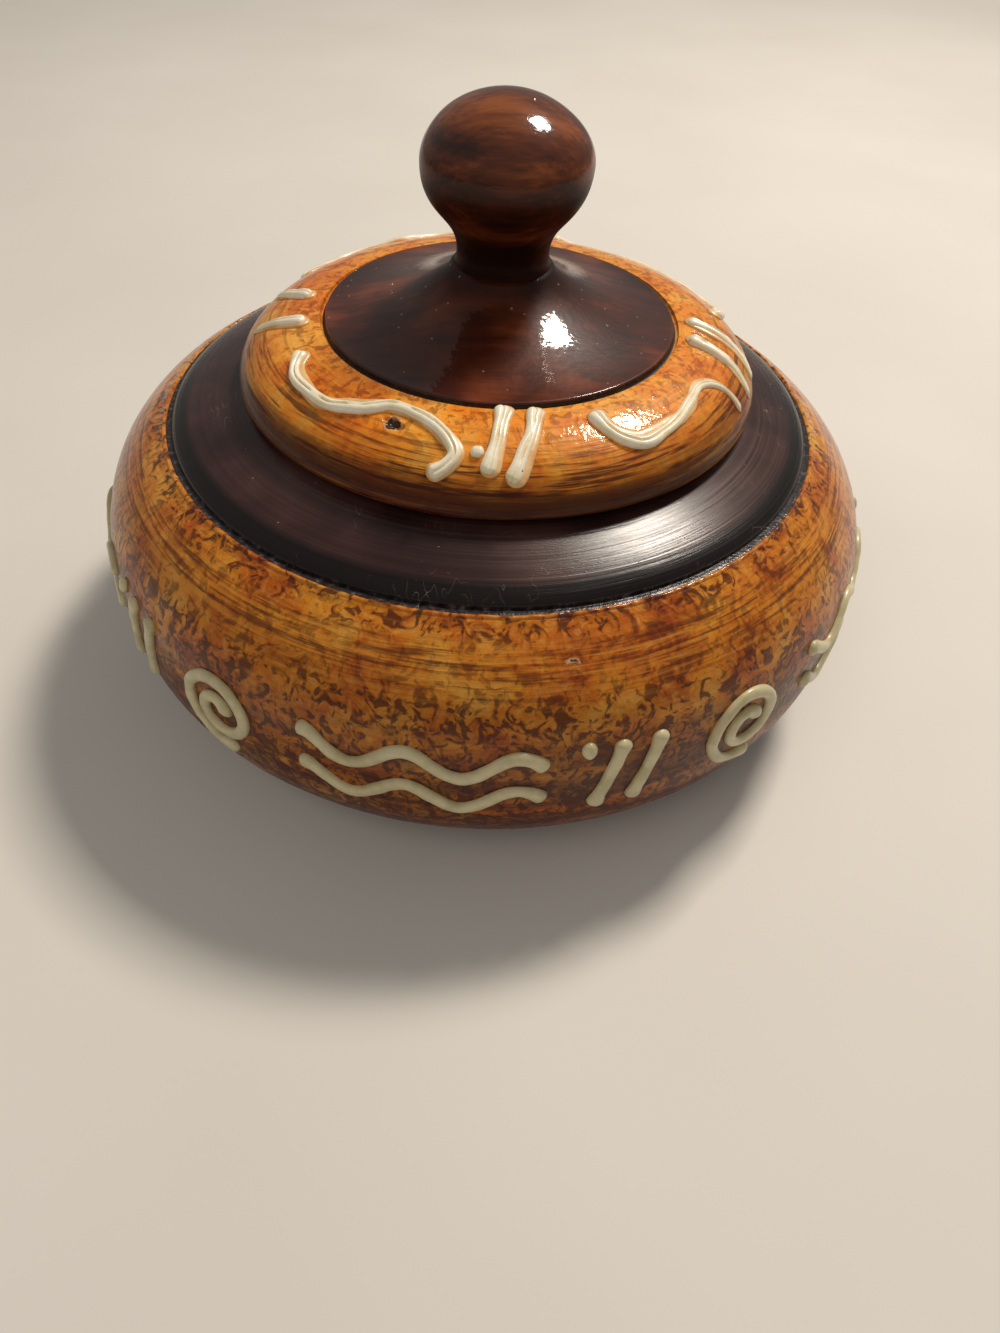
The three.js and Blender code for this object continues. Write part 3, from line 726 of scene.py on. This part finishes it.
def pit(mesh, spots, seed):
    """Presses small ragged pits into a mesh. A spot is (place in mm, radius in mm, depth in mm)."""
    for place, radius, depth in spots:
        centre = Vector(place) * MM
        near = [e for e in mesh.edges if min((v.co - centre).length for v in e.verts) < radius * MM * 1.3]
        bmesh.ops.subdivide_edges(mesh, edges=near, cuts=3, use_grid_fill=True)
    mesh.normal_update()
    for place, radius, depth in spots:
        centre = Vector(place) * MM
        for vert in mesh.verts:
            gap = (vert.co - centre).length / (radius * MM)
            ragged = 1.0 + 0.45 * noise.noise(vert.co * 1400 + Vector((seed, 0, 0)))
            if gap < ragged:
                vert.co -= vert.normal * depth * MM * (1 - (gap / ragged) ** 3)
    return len(spots)


# %% [markdown]
# The bowl's outline goes from the middle of the base, up the belly to the lip, over the ledge and a low
# step, up the domed shoulder to the flat seat that carries the lid, and down inside to the floor. Its
# measures are the CAD model's. The belly is a rounded curve that is squarer than an ellipse. The shoulder's
# slope was worked out from the lamp's highlight on it, which can only be seen where the wood tilts by 16
# degrees.

# %% Measures of the bowl, in mm
LIP_RADIUS = 61.6
LIP_HEIGHT = 54.0
BELLY_RADIUS = 75.0
BELLY_HEIGHT = 30.1
BASE_RADIUS = 38.6
UPPER_POWER = 2.54
LOWER_POWER = 3.14
SHOULDER_RADIUS = 59.7
SHOULDER_STEP = 0.5
SHOULDER_OUTER_REACH = 1.8
SHOULDER_INNER_REACH = 6.0
SHOULDER_INNER_ANGLE = 12
SEAT_HEIGHT = 60.0
SEAT_RADIUS = 44.5
MOUTH_RADIUS = 38.3
CAVITY_RADIUS = 65.0
FLOOR_RADIUS = 30.0
FLOOR_HEIGHT = 10.0
MOUTH_BOTTOM = SEAT_HEIGHT - 10
BASE_EDGE = 0.25  # the height at which the belly starts, above a narrow chamfer
TRUE_WITHIN = 43.0  # the seat and the mouth are turned true, and what lies further out not quite


def belly_radius_at(height):
    """The belly's radius at a height above the table, in mm."""
    rise = height - BELLY_HEIGHT
    if rise > 0:
        power = UPPER_POWER
        half = (LIP_HEIGHT - BELLY_HEIGHT) / (1 - (LIP_RADIUS / BELLY_RADIUS) ** power) ** (1 / power)
    else:
        power = LOWER_POWER
        half = BELLY_HEIGHT / (1 - (BASE_RADIUS / BELLY_RADIUS) ** power) ** (1 / power)
    return BELLY_RADIUS * (1 - abs(rise / half) ** power) ** (1 / power)


# %% [markdown]
# The outline is put together from these measures and spun. Then the surface is made a little uneven, and a
# few small chips are pressed into it. Last, each face is told which finish it has: the belly and the lip
# are painted, the ledge, the shoulder and the wall of the mouth are stained, and the base and the hollow
# are bare.

# %% Bowl
belly_steps = 30
belly = []
for i in range(belly_steps):
    height = BASE_EDGE + (BELLY_HEIGHT - BASE_EDGE) * (1 - math.cos(i / belly_steps * math.pi / 2))
    belly.append((belly_radius_at(height), height))
for i in range(belly_steps):
    height = BELLY_HEIGHT + (LIP_HEIGHT - 0.5 - BELLY_HEIGHT) * i / belly_steps
    belly.append((belly_radius_at(height), height))
lip = round_curve((LIP_RADIUS - 0.38, LIP_HEIGHT - 0.25), 0.40, 0.42, 2, -5, 148, 9)
inner_drop = SHOULDER_INNER_REACH * math.tan(math.radians(SHOULDER_INNER_ANGLE))
step_top = LIP_HEIGHT + SHOULDER_STEP
shoulder = interpolate_bezier(
    (SHOULDER_RADIUS, step_top), (SHOULDER_RADIUS, step_top + SHOULDER_OUTER_REACH),
    (SEAT_RADIUS + SHOULDER_INNER_REACH, SEAT_HEIGHT - inner_drop), (SEAT_RADIUS, SEAT_HEIGHT), 40,
)
upper_centre = (MOUTH_RADIUS, BELLY_HEIGHT)
upper = round_curve(upper_centre, CAVITY_RADIUS - MOUTH_RADIUS, MOUTH_BOTTOM - BELLY_HEIGHT, 2, 90, 0, 16)
lower_centre = (FLOOR_RADIUS, BELLY_HEIGHT)
lower = round_curve(lower_centre, CAVITY_RADIUS - FLOOR_RADIUS, BELLY_HEIGHT - FLOOR_HEIGHT, 2, 0, -90, 16)
bowl_outline = (
    straight((0, 0), (belly[0][0] - 0.3, 0), 8)
    + [(belly[0][0] - 0.3, 0)]
    + belly
    + lip
    + straight((LIP_RADIUS - 0.82, LIP_HEIGHT), (SHOULDER_RADIUS, LIP_HEIGHT), 3)
    + [(SHOULDER_RADIUS, LIP_HEIGHT)]
    + [tuple(spot) for spot in shoulder]
    + rounded_corner(
        (SEAT_RADIUS, SEAT_HEIGHT), (MOUTH_RADIUS, SEAT_HEIGHT), (MOUTH_RADIUS, MOUTH_BOTTOM), 0.4,
    )
    + straight((MOUTH_RADIUS, SEAT_HEIGHT - 1), (MOUTH_RADIUS, MOUTH_BOTTOM), 3)
    + upper
    + lower[1:]
    + straight((FLOOR_RADIUS, FLOOR_HEIGHT), (0, FLOOR_HEIGHT), 6)[1:]
    + [(0, FLOOR_HEIGHT)]
)
bowl = spin_outline(bowl_outline, 320)

# a hand-turned bowl is not quite true, and the varnish stands in beads along the lip
for vert in bowl.verts:
    radius = math.hypot(vert.co.x, vert.co.y) / MM
    height = vert.co.z / MM
    if radius > TRUE_WITHIN and height > 1.0:
        push_out(vert, 0.10 * noise.noise(vert.co * 45), radius)
    if LIP_RADIUS - 1.0 < radius < LIP_RADIUS + 0.3 and LIP_HEIGHT - 0.5 < height < LIP_HEIGHT + 0.5:
        lump = noise.noise(vert.co * 420) + 0.5 * noise.noise(vert.co * 900)
        vert.co.z += 0.25 * MM * lump * min(1.0, (radius - LIP_RADIUS + 1.0) * 2)

chips = [
    ((9.9, -66.9, 49.8), 0.55, 0.25),
    ((12.9, -66.6, 49.9), 0.40, 0.20),
    ((14.2, -66.3, 49.9), 0.75, 0.30),
    ((15.5, -66.1, 49.7), 0.65, 0.28),
    ((17.8, -65.6, 49.6), 0.60, 0.25),
    ((-31.0, 59.5, 49.5), 0.60, 0.25),
    ((66.0, 22.0, 44.0), 0.55, 0.25),
]
print("chips in the bowl:", pit(bowl, chips, 3))

PAINTED, STAINED, BARE = range(3)
for face in bowl.faces:
    centre = face.calc_center_median() / MM
    radius = math.hypot(centre.x, centre.y)
    if centre.z < BASE_EDGE + 0.01:
        face.material_index = BARE
    elif radius > LIP_RADIUS - 0.74 and LIP_HEIGHT - 1 < centre.z <= LIP_HEIGHT + 0.6:
        face.material_index = PAINTED
    elif centre.z <= LIP_HEIGHT - 1 and radius > belly_radius_at(max(0.3, centre.z)) - 2.0:
        face.material_index = PAINTED
    elif centre.z > MOUTH_BOTTOM and radius > MOUTH_RADIUS - 0.1:
        face.material_index = STAINED
    else:
        face.material_index = BARE
bowl_piece = show_piece(bowl, "turned_bowl", [belly_paint, shoulder_stain, bare_wood], 50)
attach(bowl_piece, "bowl")
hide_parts("bowl_body")
print("bowl:", len(bowl_piece.data.polygons), "faces")

# %% [markdown]
# The lid is one turned block as well. Its outline goes from the plug's flat bottom, round the plug, out
# along the flat ring that rests on the bowl, round the fat rim, down and up through the fine groove, and up
# the trumpet-shaped cone. The rim turns under sharply at its foot, which leaves a dark gap over the
# shoulder. A blind hole at the top takes the knob. The CAD model has the lid true to the bowl's axis, and
# here it stands a little to the right, as it does in the photograph.

# %% Measures of the lid, in mm
LID_SHIFT = 1.0  # how far the lid's outside and the knob stand to the right of the plug
SHIFTED_BEYOND = 40.0  # how far from the axis the underside starts to move with the lid's outside
RIM_RADIUS = 47.5
RIM_UNDERCUT = 2.7
RIM_LOWER_HEIGHT = 1.7
RIM_LOWER_POWER = 1.2
RIM_WIDEST_HEIGHT = 61.7
RIM_UPPER_HEIGHT = 10.2
RIM_HALF_WIDTH = 18.2
RIM_CENTRE_RADIUS = RIM_RADIUS - RIM_HALF_WIDTH
GROOVE_RADIUS = 32.3
GROOVE_WIDTH = 1.0
GROOVE_DEPTH = 0.7
GROOVE_ANGLE = math.degrees(math.acos((GROOVE_RADIUS - RIM_CENTRE_RADIUS) / RIM_HALF_WIDTH))
GROOVE_HEIGHT = RIM_WIDEST_HEIGHT + RIM_UPPER_HEIGHT * math.sin(math.radians(GROOVE_ANGLE))
CONE_EDGE_RADIUS = GROOVE_RADIUS - GROOVE_WIDTH
CONE_EDGE_HEIGHT = GROOVE_HEIGHT + 0.5
CONE_RISE = 9.1
CONE_POWER = 1.6
CONE_FLARE_SHARE = 0.206
CONE_FLARE_POWER = 8
CONE_TOP_RADIUS = 8.7
NECK_SEAT_HEIGHT = CONE_EDGE_HEIGHT + CONE_RISE
PLUG_RADIUS = 37.7
PLUG_BOTTOM = 54.0
HOLE_RADIUS = 5.3
HOLE_BOTTOM = NECK_SEAT_HEIGHT - 14.6

# %% [markdown]
# The lid is put together and spun in the same way. The knot hole in its rim is pressed in, and then all but
# the plug moves sideways by the shift. The rim is brushed orange, the groove is painted black as painted
# shade, the cone is glossy, and the underside, the plug and the hole for the knob are bare.

# %% Lid
rim_lower_centre = (RIM_RADIUS - RIM_UNDERCUT, RIM_WIDEST_HEIGHT)
rim_lower = round_curve(rim_lower_centre, RIM_UNDERCUT, RIM_LOWER_HEIGHT, RIM_LOWER_POWER, -90, 0, 14)
rim_centre = (RIM_CENTRE_RADIUS, RIM_WIDEST_HEIGHT)
rim_upper = round_curve(rim_centre, RIM_HALF_WIDTH, RIM_UPPER_HEIGHT, 2, 0, GROOVE_ANGLE - 0.8, 40)
groove_centre = (GROOVE_RADIUS - GROOVE_WIDTH / 2, GROOVE_HEIGHT - 0.05)
groove_cut = round_curve(groove_centre, GROOVE_WIDTH / 2, GROOVE_DEPTH - 0.05, 2, 0, -180, 10)
cone = []
cone_steps = 44
for i in range(cone_steps + 1):
    share = i / cone_steps
    radius = CONE_EDGE_RADIUS + (CONE_TOP_RADIUS - CONE_EDGE_RADIUS) * share
    rise = (1 - CONE_FLARE_SHARE) * share**CONE_POWER + CONE_FLARE_SHARE * share**CONE_FLARE_POWER
    cone.append((radius, CONE_EDGE_HEIGHT + CONE_RISE * rise))
groove = groove_cut + [
    (CONE_EDGE_RADIUS, CONE_EDGE_HEIGHT - 0.28), (CONE_EDGE_RADIUS - 0.06, CONE_EDGE_HEIGHT - 0.08),
    (CONE_EDGE_RADIUS - 0.22, CONE_EDGE_HEIGHT + 0.01),
]
plug_corner = rounded_corner((0, PLUG_BOTTOM), (PLUG_RADIUS, PLUG_BOTTOM), (PLUG_RADIUS, SEAT_HEIGHT), 1.0, 4)
lid_outline = (
    straight((0, PLUG_BOTTOM), plug_corner[0], 8)
    + plug_corner
    + straight(plug_corner[-1], (PLUG_RADIUS, SEAT_HEIGHT), 3)[1:]
    + straight((PLUG_RADIUS, SEAT_HEIGHT), rim_lower[0], 4)
    + rim_lower
    + rim_upper[1:]
    + groove
    + cone[1:]
    + [(HOLE_RADIUS, NECK_SEAT_HEIGHT), (HOLE_RADIUS, HOLE_BOTTOM), (0, HOLE_BOTTOM)]
)
lid = spin_outline(lid_outline, 288)
for vert in lid.verts:
    radius = math.hypot(vert.co.x, vert.co.y) / MM
    height = vert.co.z / MM
    if radius > TRUE_WITHIN and height > SEAT_HEIGHT + 0.1:
        push_out(vert, 0.10 * noise.noise(vert.co * 60 + Vector((3, 1, 2))), radius)
        if height < SEAT_HEIGHT + 1.6:
            vert.co.z -= 0.12 * MM * max(0.0, noise.noise(vert.co * 170))

knot = [
    ((-16.2, -35.2, 70.4), 1.0, 0.9),
    ((-15.2, -36.2, 70.2), 0.85, 0.8),
    ((-17.2, -34.6, 70.5), 0.65, 0.5),
]
print("pits in the lid:", pit(lid, knot, 5))
beyond_plug = []
for vert in lid.verts:
    if vert.co.z > (SEAT_HEIGHT + 0.1) * MM or vert.co.xy.length > SHIFTED_BEYOND * MM:
        beyond_plug.append(vert)
bmesh.ops.translate(lid, verts=beyond_plug, vec=(LID_SHIFT * MM, 0.0, 0.0))

BRUSHED, GLOSSY, SHADED_GROOVE, LEFT_BARE = range(4)
for face in lid.faces:
    centre = face.calc_center_median() / MM
    radius = math.hypot(centre.x - LID_SHIFT, centre.y)
    if centre.z < SEAT_HEIGHT + 0.02 or radius < HOLE_RADIUS + 0.1:
        face.material_index = LEFT_BARE
    elif radius > GROOVE_RADIUS - GROOVE_WIDTH / 2:
        face.material_index = BRUSHED
    elif radius > CONE_EDGE_RADIUS - 0.02:
        face.material_index = SHADED_GROOVE
    else:
        face.material_index = GLOSSY
lid_materials = [rim_paint, cone_gloss, groove_painted_shade, bare_wood]
lid_piece = show_piece(lid, "turned_lid", lid_materials, 50)
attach(lid_piece, "lid")
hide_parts("lid_disc")
print("lid:", len(lid_piece.data.polygons), "faces")

# %% [markdown]
# The knob is a ball on a short neck, turned from its own block and glued into the lid by a tenon. Its
# outline is the tenon, a fine foot, a curve that swells from the neck to the ball's widest circle, and a
# rounded cap. A ball turned by eye isn't quite round, so a slow noise pushes its surface in and out by up
# to a quarter of a millimetre.

# %% Knob
NECK_RADIUS = 8.0
FOOT_RADIUS = 8.5
BALL_RADIUS = 14.3
KNOB_TOP = NECK_SEAT_HEIGHT + 26.5
BALL_HEIGHT = KNOB_TOP - 10.1
NECK_HEIGHT = NECK_SEAT_HEIGHT + 1.9
TENON_RADIUS = 5.0
TENON_BOTTOM = NECK_SEAT_HEIGHT - 14.0
run = BALL_HEIGHT - NECK_HEIGHT
swell = interpolate_bezier(
    (NECK_RADIUS, NECK_HEIGHT), (NECK_RADIUS, NECK_HEIGHT + 0.44 * run),
    (BALL_RADIUS, BALL_HEIGHT - 0.55 * run), (BALL_RADIUS, BALL_HEIGHT), 36,
)
cap = round_curve((0, BALL_HEIGHT), BALL_RADIUS, KNOB_TOP - BALL_HEIGHT, 1.87, 0, 90, 34)
knob_outline = (
    [(0, TENON_BOTTOM), (TENON_RADIUS - 0.5, TENON_BOTTOM), (TENON_RADIUS, TENON_BOTTOM + 0.5)]
    + [(TENON_RADIUS, NECK_SEAT_HEIGHT), (FOOT_RADIUS - 0.02, NECK_SEAT_HEIGHT)]
    + [(FOOT_RADIUS - 0.03, NECK_SEAT_HEIGHT + 0.06), (FOOT_RADIUS - 0.12, NECK_SEAT_HEIGHT + 0.22)]
    + [(FOOT_RADIUS - 0.26, NECK_SEAT_HEIGHT + 0.5), (FOOT_RADIUS - 0.38, NECK_SEAT_HEIGHT + 0.9)]
    + [(FOOT_RADIUS - 0.46, NECK_SEAT_HEIGHT + 1.4)]
    + [tuple(point) for point in swell]
    + cap[1:-1]
    + [(0, KNOB_TOP)]
)
knob = spin_outline(knob_outline, 160)
for vert in knob.verts:
    height = vert.co.z / MM
    if height > NECK_SEAT_HEIGHT + 2:
        share = min(1.0, (height - NECK_SEAT_HEIGHT - 2) / 8)
        sway = 0.28 * share * noise.noise(vert.co * 95 + Vector((7, 0, 4)))
        push_out(vert, sway, max(6.0, math.hypot(vert.co.x, vert.co.y) / MM))
bmesh.ops.translate(knob, verts=knob.verts, vec=(LID_SHIFT * MM, 0.0, 0.0))
knob_piece = show_piece(knob, "turned_knob", [knob_wood], 50)
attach(knob_piece, "lid")
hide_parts("knob")
print("knob:", len(knob_piece.data.polygons), "faces")

# %% [markdown]
# The paste lines are drawn as a hand does it: the nozzle travels along a route over the wood and the paste
# lies down as a rounded bead, with a blob where the hand stops. A grid is wrapped round the route: one side
# of the grid runs along the line and the other goes round the bead. The bead's underside lies a little
# inside the wood, so that no gap shows. Where the grid's edges meet they are merged, which closes the bead.

# %% Routes for the paste
def on_rim(azimuth, section):
    """A place on the lid's rim: degrees round the lid, and degrees up the rim's round section."""
    turn = math.radians(azimuth)
    climb = math.radians(section)
    radius = RIM_CENTRE_RADIUS + RIM_HALF_WIDTH * math.cos(climb)
    height = RIM_WIDEST_HEIGHT + RIM_UPPER_HEIGHT * math.sin(climb)
    return Vector((LID_SHIFT + radius * math.cos(turn), radius * math.sin(turn), height)) * MM


def on_belly(azimuth, rise):
    """A place on the belly: degrees round the bowl, and mm above its widest circle."""
    turn = math.radians(azimuth)
    height = BELLY_HEIGHT + rise
    radius = belly_radius_at(height)
    return Vector((radius * math.cos(turn), radius * math.sin(turn), height)) * MM


def smooth_route(places, steps=24):
    """A smooth line through a few places, as points close together."""
    spots = [Vector(place) for place in places]
    line = []
    for i in range(len(spots) - 1):
        before = spots[max(0, i - 1)]
        after = spots[min(len(spots) - 1, i + 2)]
        out = spots[i] + (spots[i + 1] - before) / 6
        into = spots[i + 1] - (after - spots[i]) / 6
        piece = interpolate_bezier(spots[i], out, into, spots[i + 1], steps + 1)
        line.extend(piece if not line else piece[1:])
    return line


def measured_route(surface, places):
    """The line's points with the distance travelled to each, in mm."""
    line = smooth_route(places)
    travelled = [0.0]
    for here, there in zip(line, line[1:]):
        travelled.append(travelled[-1] + (surface(*there) - surface(*here)).length / MM)
    return line, travelled


def place_at(line, travelled, distance):
    """The place on a measured line at a distance from its start."""
    i = 1
    while i < len(line) - 1 and travelled[i] < distance:
        i += 1
    share = (distance - travelled[i - 1]) / max(1e-9, travelled[i] - travelled[i - 1])
    return line[i - 1].lerp(line[i], min(1.0, max(0.0, share)))


# %% [markdown]
# Across the line, a bead is a low dome. Slow noises make it wider and narrower and let it wander a little.
# Its ends are rounded off, with a blob just inside them, and a groove can run down its middle.

# %% Beads of paste
BEAD_SIDES = 26


def bead_stations(start, end, half):
    """Distances along a line at which a bead has a cross-section, closer together at its round ends."""
    ends = [0.0, 0.03, 0.12, 0.3, 0.55, 0.85]
    reach = min(half, (end - start) / 2)
    steps = max(1, round((end - start - 2 * reach) / 0.6))
    stations = [start + share * reach for share in ends]
    stations += [start + reach + (end - start - 2 * reach) * i / steps for i in range(steps + 1)]
    return stations + [end - share * reach for share in reversed(ends)]


def bead(mesh, surface, places, layer, material_index, seed, taper):
    """Adds one bead of paste to a mesh, in mm. The taper says how much thinner its second half gets."""
    width, height, groove, shift, trim = layer
    line, travelled = measured_route(surface, places)
    start = trim
    end = travelled[-1] - trim * 0.6
    half = width / 2
    stations = bead_stations(start, end, half)
    last = len(stations) - 1

    made = bmesh.ops.create_grid(mesh, x_segments=last, y_segments=BEAD_SIDES, size=0.5)
    for vert in made["verts"]:
        station = stations[round((vert.co.x + 0.5) * last)]
        turn = FULL_TURN * round((vert.co.y + 0.5) * BEAD_SIDES) / BEAD_SIDES
        here = place_at(line, travelled, station)
        ahead_place = place_at(line, travelled, station + 0.1)
        behind_place = place_at(line, travelled, station - 0.1)
        along = (surface(*ahead_place) - surface(*behind_place)).normalized()
        centre = surface(*here)
        sideways = surface(here.x + 0.02, here.y) - centre
        upwards = surface(here.x, here.y + 0.02) - centre
        outward = sideways.cross(upwards).normalized()
        side = outward.cross(along).normalized()

        from_tip = min(station - start, end - station)
        fullness = math.sqrt(max(0.0, 1 - (1 - min(1.0, from_tip / half)) ** 2))
        blob = 1 + 0.28 * math.exp(-(((from_tip - half) / 1.5) ** 2))
        waver = 1 + 0.13 * noise.noise(Vector((station * 0.35, seed * 3.7, 0.0)))
        thinning = taper * max(0.0, 2 * station / travelled[-1] - 1)
        waver *= 1 - thinning
        wander = 0.22 * noise.noise(Vector((station * 0.22, seed * 1.9, 5.0)))
        wander += shift * (1 + 4 * noise.noise(Vector((station * 0.13, seed * 2.3, 9.0))))
        across = math.cos(turn)
        up = math.sin(turn)
        if up >= 0:
            lift = height * waver * blob**0.5 * fullness * up**0.72
            cut = groove * (0.75 + noise.noise(Vector((station * 0.25, seed, 2.0))))
            lift -= max(0.0, cut) * fullness * math.exp(-(((across - 0.1) / 0.16) ** 2)) * up
            lift += 0.05 * fullness * up * noise.noise(Vector((station * 1.1, across * 1.5, seed)))
        else:
            lift = -0.25 * abs(up) ** 0.5
        vert.co = centre + (side * (wander + across * half * waver * blob * fullness) + outward * lift) * MM
    for vert in made["verts"]:
        for face in vert.link_faces:
            face.material_index = material_index
    return travelled[-1]


def paste_line(name, node, body, surface, places, layers, seed, taper=0.0):
    """Makes the piece for one CAD trail. Each layer is (width, height, material, groove, shift, trim)."""
    mesh = bmesh.new()
    materials = []
    for width, height, material, groove, shift, trim in layers:
        layer = (width, height, groove, shift, trim)
        bead(mesh, surface, places, layer, len(materials), seed, taper)
        materials.append(material)
    bmesh.ops.remove_doubles(mesh, verts=mesh.verts, dist=0.001 * MM)
    bmesh.ops.recalc_face_normals(mesh, faces=mesh.faces)
    made = show_piece(mesh, name, materials, 70)
    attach(made, body)
    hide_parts(node)
    return made


# %% [markdown]
# The lid has four lying waves, four pairs of short bars and one dot. Each is two beads, one on the other:
# the first is wider, flatter and peach-coloured, and the second is whiter, with a groove down its middle
# that the nozzle left. The second wanders a little to one side, so that the first shows beside it. Some
# lines were drawn off the rim's edge in one quick pull, and get thinner towards that end.

# %% Lines on the lid
LID_LAYERS = [
    (2.6, 0.58, peach_paste, 0.0, 0.20, 0.0),
    (2.1, 1.12, white_paste, 0.60, -0.06, 0.6),
]
LID_WAVES = {
    "front_left": [
        (-154.5, 67), (-148.5, 56), (-140.5, 52), (-131.5, 53), (-124.5, 59), (-117, 68), (-108, 66),
        (-101.7, 58), (-98.7, 47), (-100.2, 37), (-103.3, 29),
    ],
    "front_right": [
        (-65, 73), (-63, 58), (-57.5, 45), (-51, 46), (-40, 52), (-30.5, 57), (-25, 46), (-24.5, 21),
    ],
    "back_right": [
        (11.5, 50), (14.5, 41), (18, 31), (22, 23), (28, 20), (36, 23), (46, 28), (54, 29),
        (61, 27), (67, 27), (72, 34), (76, 46),
    ],
    "back_left": [
        (101, 37), (107, 35), (113, 36), (119, 40), (125, 32), (132, 29), (139, 26), (145, 23), (150, 21),
    ],
}
LID_BARS = {
    "front": [[(-88, 83), (-91.7, 33)], [(-78.9, 81), (-87.2, 28)]],
    "right": [[(-10, 77), (-17, 18)], [(1.3, 77), (-8.7, 17)]],
    "back": [[(84, 78), (88, 30)], [(93, 78), (97, 31)]],
    "left": [[(173.6, 74), (167, 39)], [(190.5, 75), (183, 35)]],
}

# how much thinner a line gets over its second half
WAVE_TAPERS = {"front_right": 0.6}
BAR_TAPERS = {"left": 0.65, "right": 0.65}

seed = 1
for quarter, places in LID_WAVES.items():
    name = "paste_wave_" + quarter
    taper = WAVE_TAPERS.get(quarter, 0.0)
    paste_line(name, "lid_wave_" + quarter, "lid", on_rim, places, LID_LAYERS, seed, taper)
    seed += 1
for side, pair in LID_BARS.items():
    taper = BAR_TAPERS.get(side, 0.0)
    for i, places in enumerate(pair):
        name = f"paste_bar_{side}_{i + 1}"
        paste_line(name, f"lid_bar_{side}_{i + 1}", "lid", on_rim, places, LID_LAYERS, seed, taper)
        seed += 1
LID_DOT_LAYERS = [(1.35, 0.75, white_paste, 0.0, 0.0, 0.0)]
lid_dot = [(-95.4, 49.7), (-92.5, 48.9)]
paste_line("paste_dot_lid", "lid_dot", "lid", on_rim, lid_dot, LID_DOT_LAYERS, seed)
print("lines on the lid:", seed)

# %% [markdown]
# The belly's frieze is laid in one go, so each line is a single rounded bead. A spiral, two lying waves, a
# dot and two leaning bars repeat five times round the bowl, each time a little higher or lower, as a hand
# does it.

# %% Lines on the belly
BELLY_LAYERS = [(2.3, 1.0, belly_paste, 0.0, 0.0, 0.0)]
BELLY_DOT_LAYERS = [(2.6, 1.0, belly_paste, 0.0, 0.0, 0.0)]
REPEATS = 5
DEGREES_PER_MM = 360 / (FULL_TURN * BELLY_RADIUS)

# in degrees round the bowl
FIRST_SPIRAL = -125
WAVE_AFTER_SPIRAL = 12.5
WAVE_LENGTH = 31
DOT_AFTER_SPIRAL = 48.5
BARS_AFTER_SPIRAL = 50
BAR_SPACING = 5
BAR_LEAN = 3

# in mm, but for the numbers of turns and swings
SPIRAL_TURNS = 1.8
SPIRAL_START = 1.6
SPIRAL_GROWTH = 3.9
WAVE_SWINGS = 2.25
WAVE_HEIGHT = 2.3
WAVE_SPACING = 7.6
BAR_HALF_HEIGHT = 7.5
DOT_HEIGHT = 6.5
DOT_HALF_LENGTH = 1.3

for i in range(REPEATS):
    spiral_at = FIRST_SPIRAL + i * 360 / REPEATS
    middle = 0.5 + 0.8 * math.sin(math.radians(132 * i))
    number = i + 1

    spiral = []
    for k in range(21):
        turn = k / 20 * SPIRAL_TURNS
        radius = SPIRAL_START + SPIRAL_GROWTH * turn
        angle = FULL_TURN * turn
        across = radius * math.cos(angle) * DEGREES_PER_MM
        spiral.append((spiral_at + across, middle + radius * math.sin(angle)))
    label = f"spiral_{number}"
    paste_line("paste_" + label, "belly_" + label, "bowl", on_belly, spiral, BELLY_LAYERS, 30 + i)

    for row in (0, 1):
        wave = []
        for k in range(19):
            share = k / 18
            rise = WAVE_HEIGHT * math.cos(FULL_TURN * WAVE_SWINGS * share) + (row - 0.5) * WAVE_SPACING
            wave.append((spiral_at + WAVE_AFTER_SPIRAL + WAVE_LENGTH * share, middle + rise))
        label = f"wave_{number}_{row + 1}"
        seed = 40 + 2 * i + row
        paste_line("paste_" + label, "belly_" + label, "bowl", on_belly, wave, BELLY_LAYERS, seed)

    for side in (0, 1):
        foot = spiral_at + BARS_AFTER_SPIRAL + side * BAR_SPACING
        bar = [(foot, middle - BAR_HALF_HEIGHT), (foot + BAR_LEAN, middle + BAR_HALF_HEIGHT)]
        label = f"bar_{number}_{side + 1}"
        seed = 60 + 2 * i + side
        paste_line("paste_" + label, "belly_" + label, "bowl", on_belly, bar, BELLY_LAYERS, seed)

    dot_at = spiral_at + DOT_AFTER_SPIRAL
    half_dot = DOT_HALF_LENGTH * DEGREES_PER_MM
    dot = [(dot_at - half_dot, middle + DOT_HEIGHT), (dot_at + half_dot, middle + DOT_HEIGHT)]
    label = f"dot_{number}"
    paste_line("paste_" + label, "belly_" + label, "bowl", on_belly, dot, BELLY_DOT_LAYERS, 80 + i)
print("repeats on the belly:", REPEATS)

# %% [markdown]
# At the end the triangles of all shown pieces are counted.

# %% Finish
triangles = 0
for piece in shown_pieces():
    if piece.type == "MESH":
        triangles += sum(len(polygon.vertices) - 2 for polygon in piece.data.polygons)
print("triangles:", triangles)
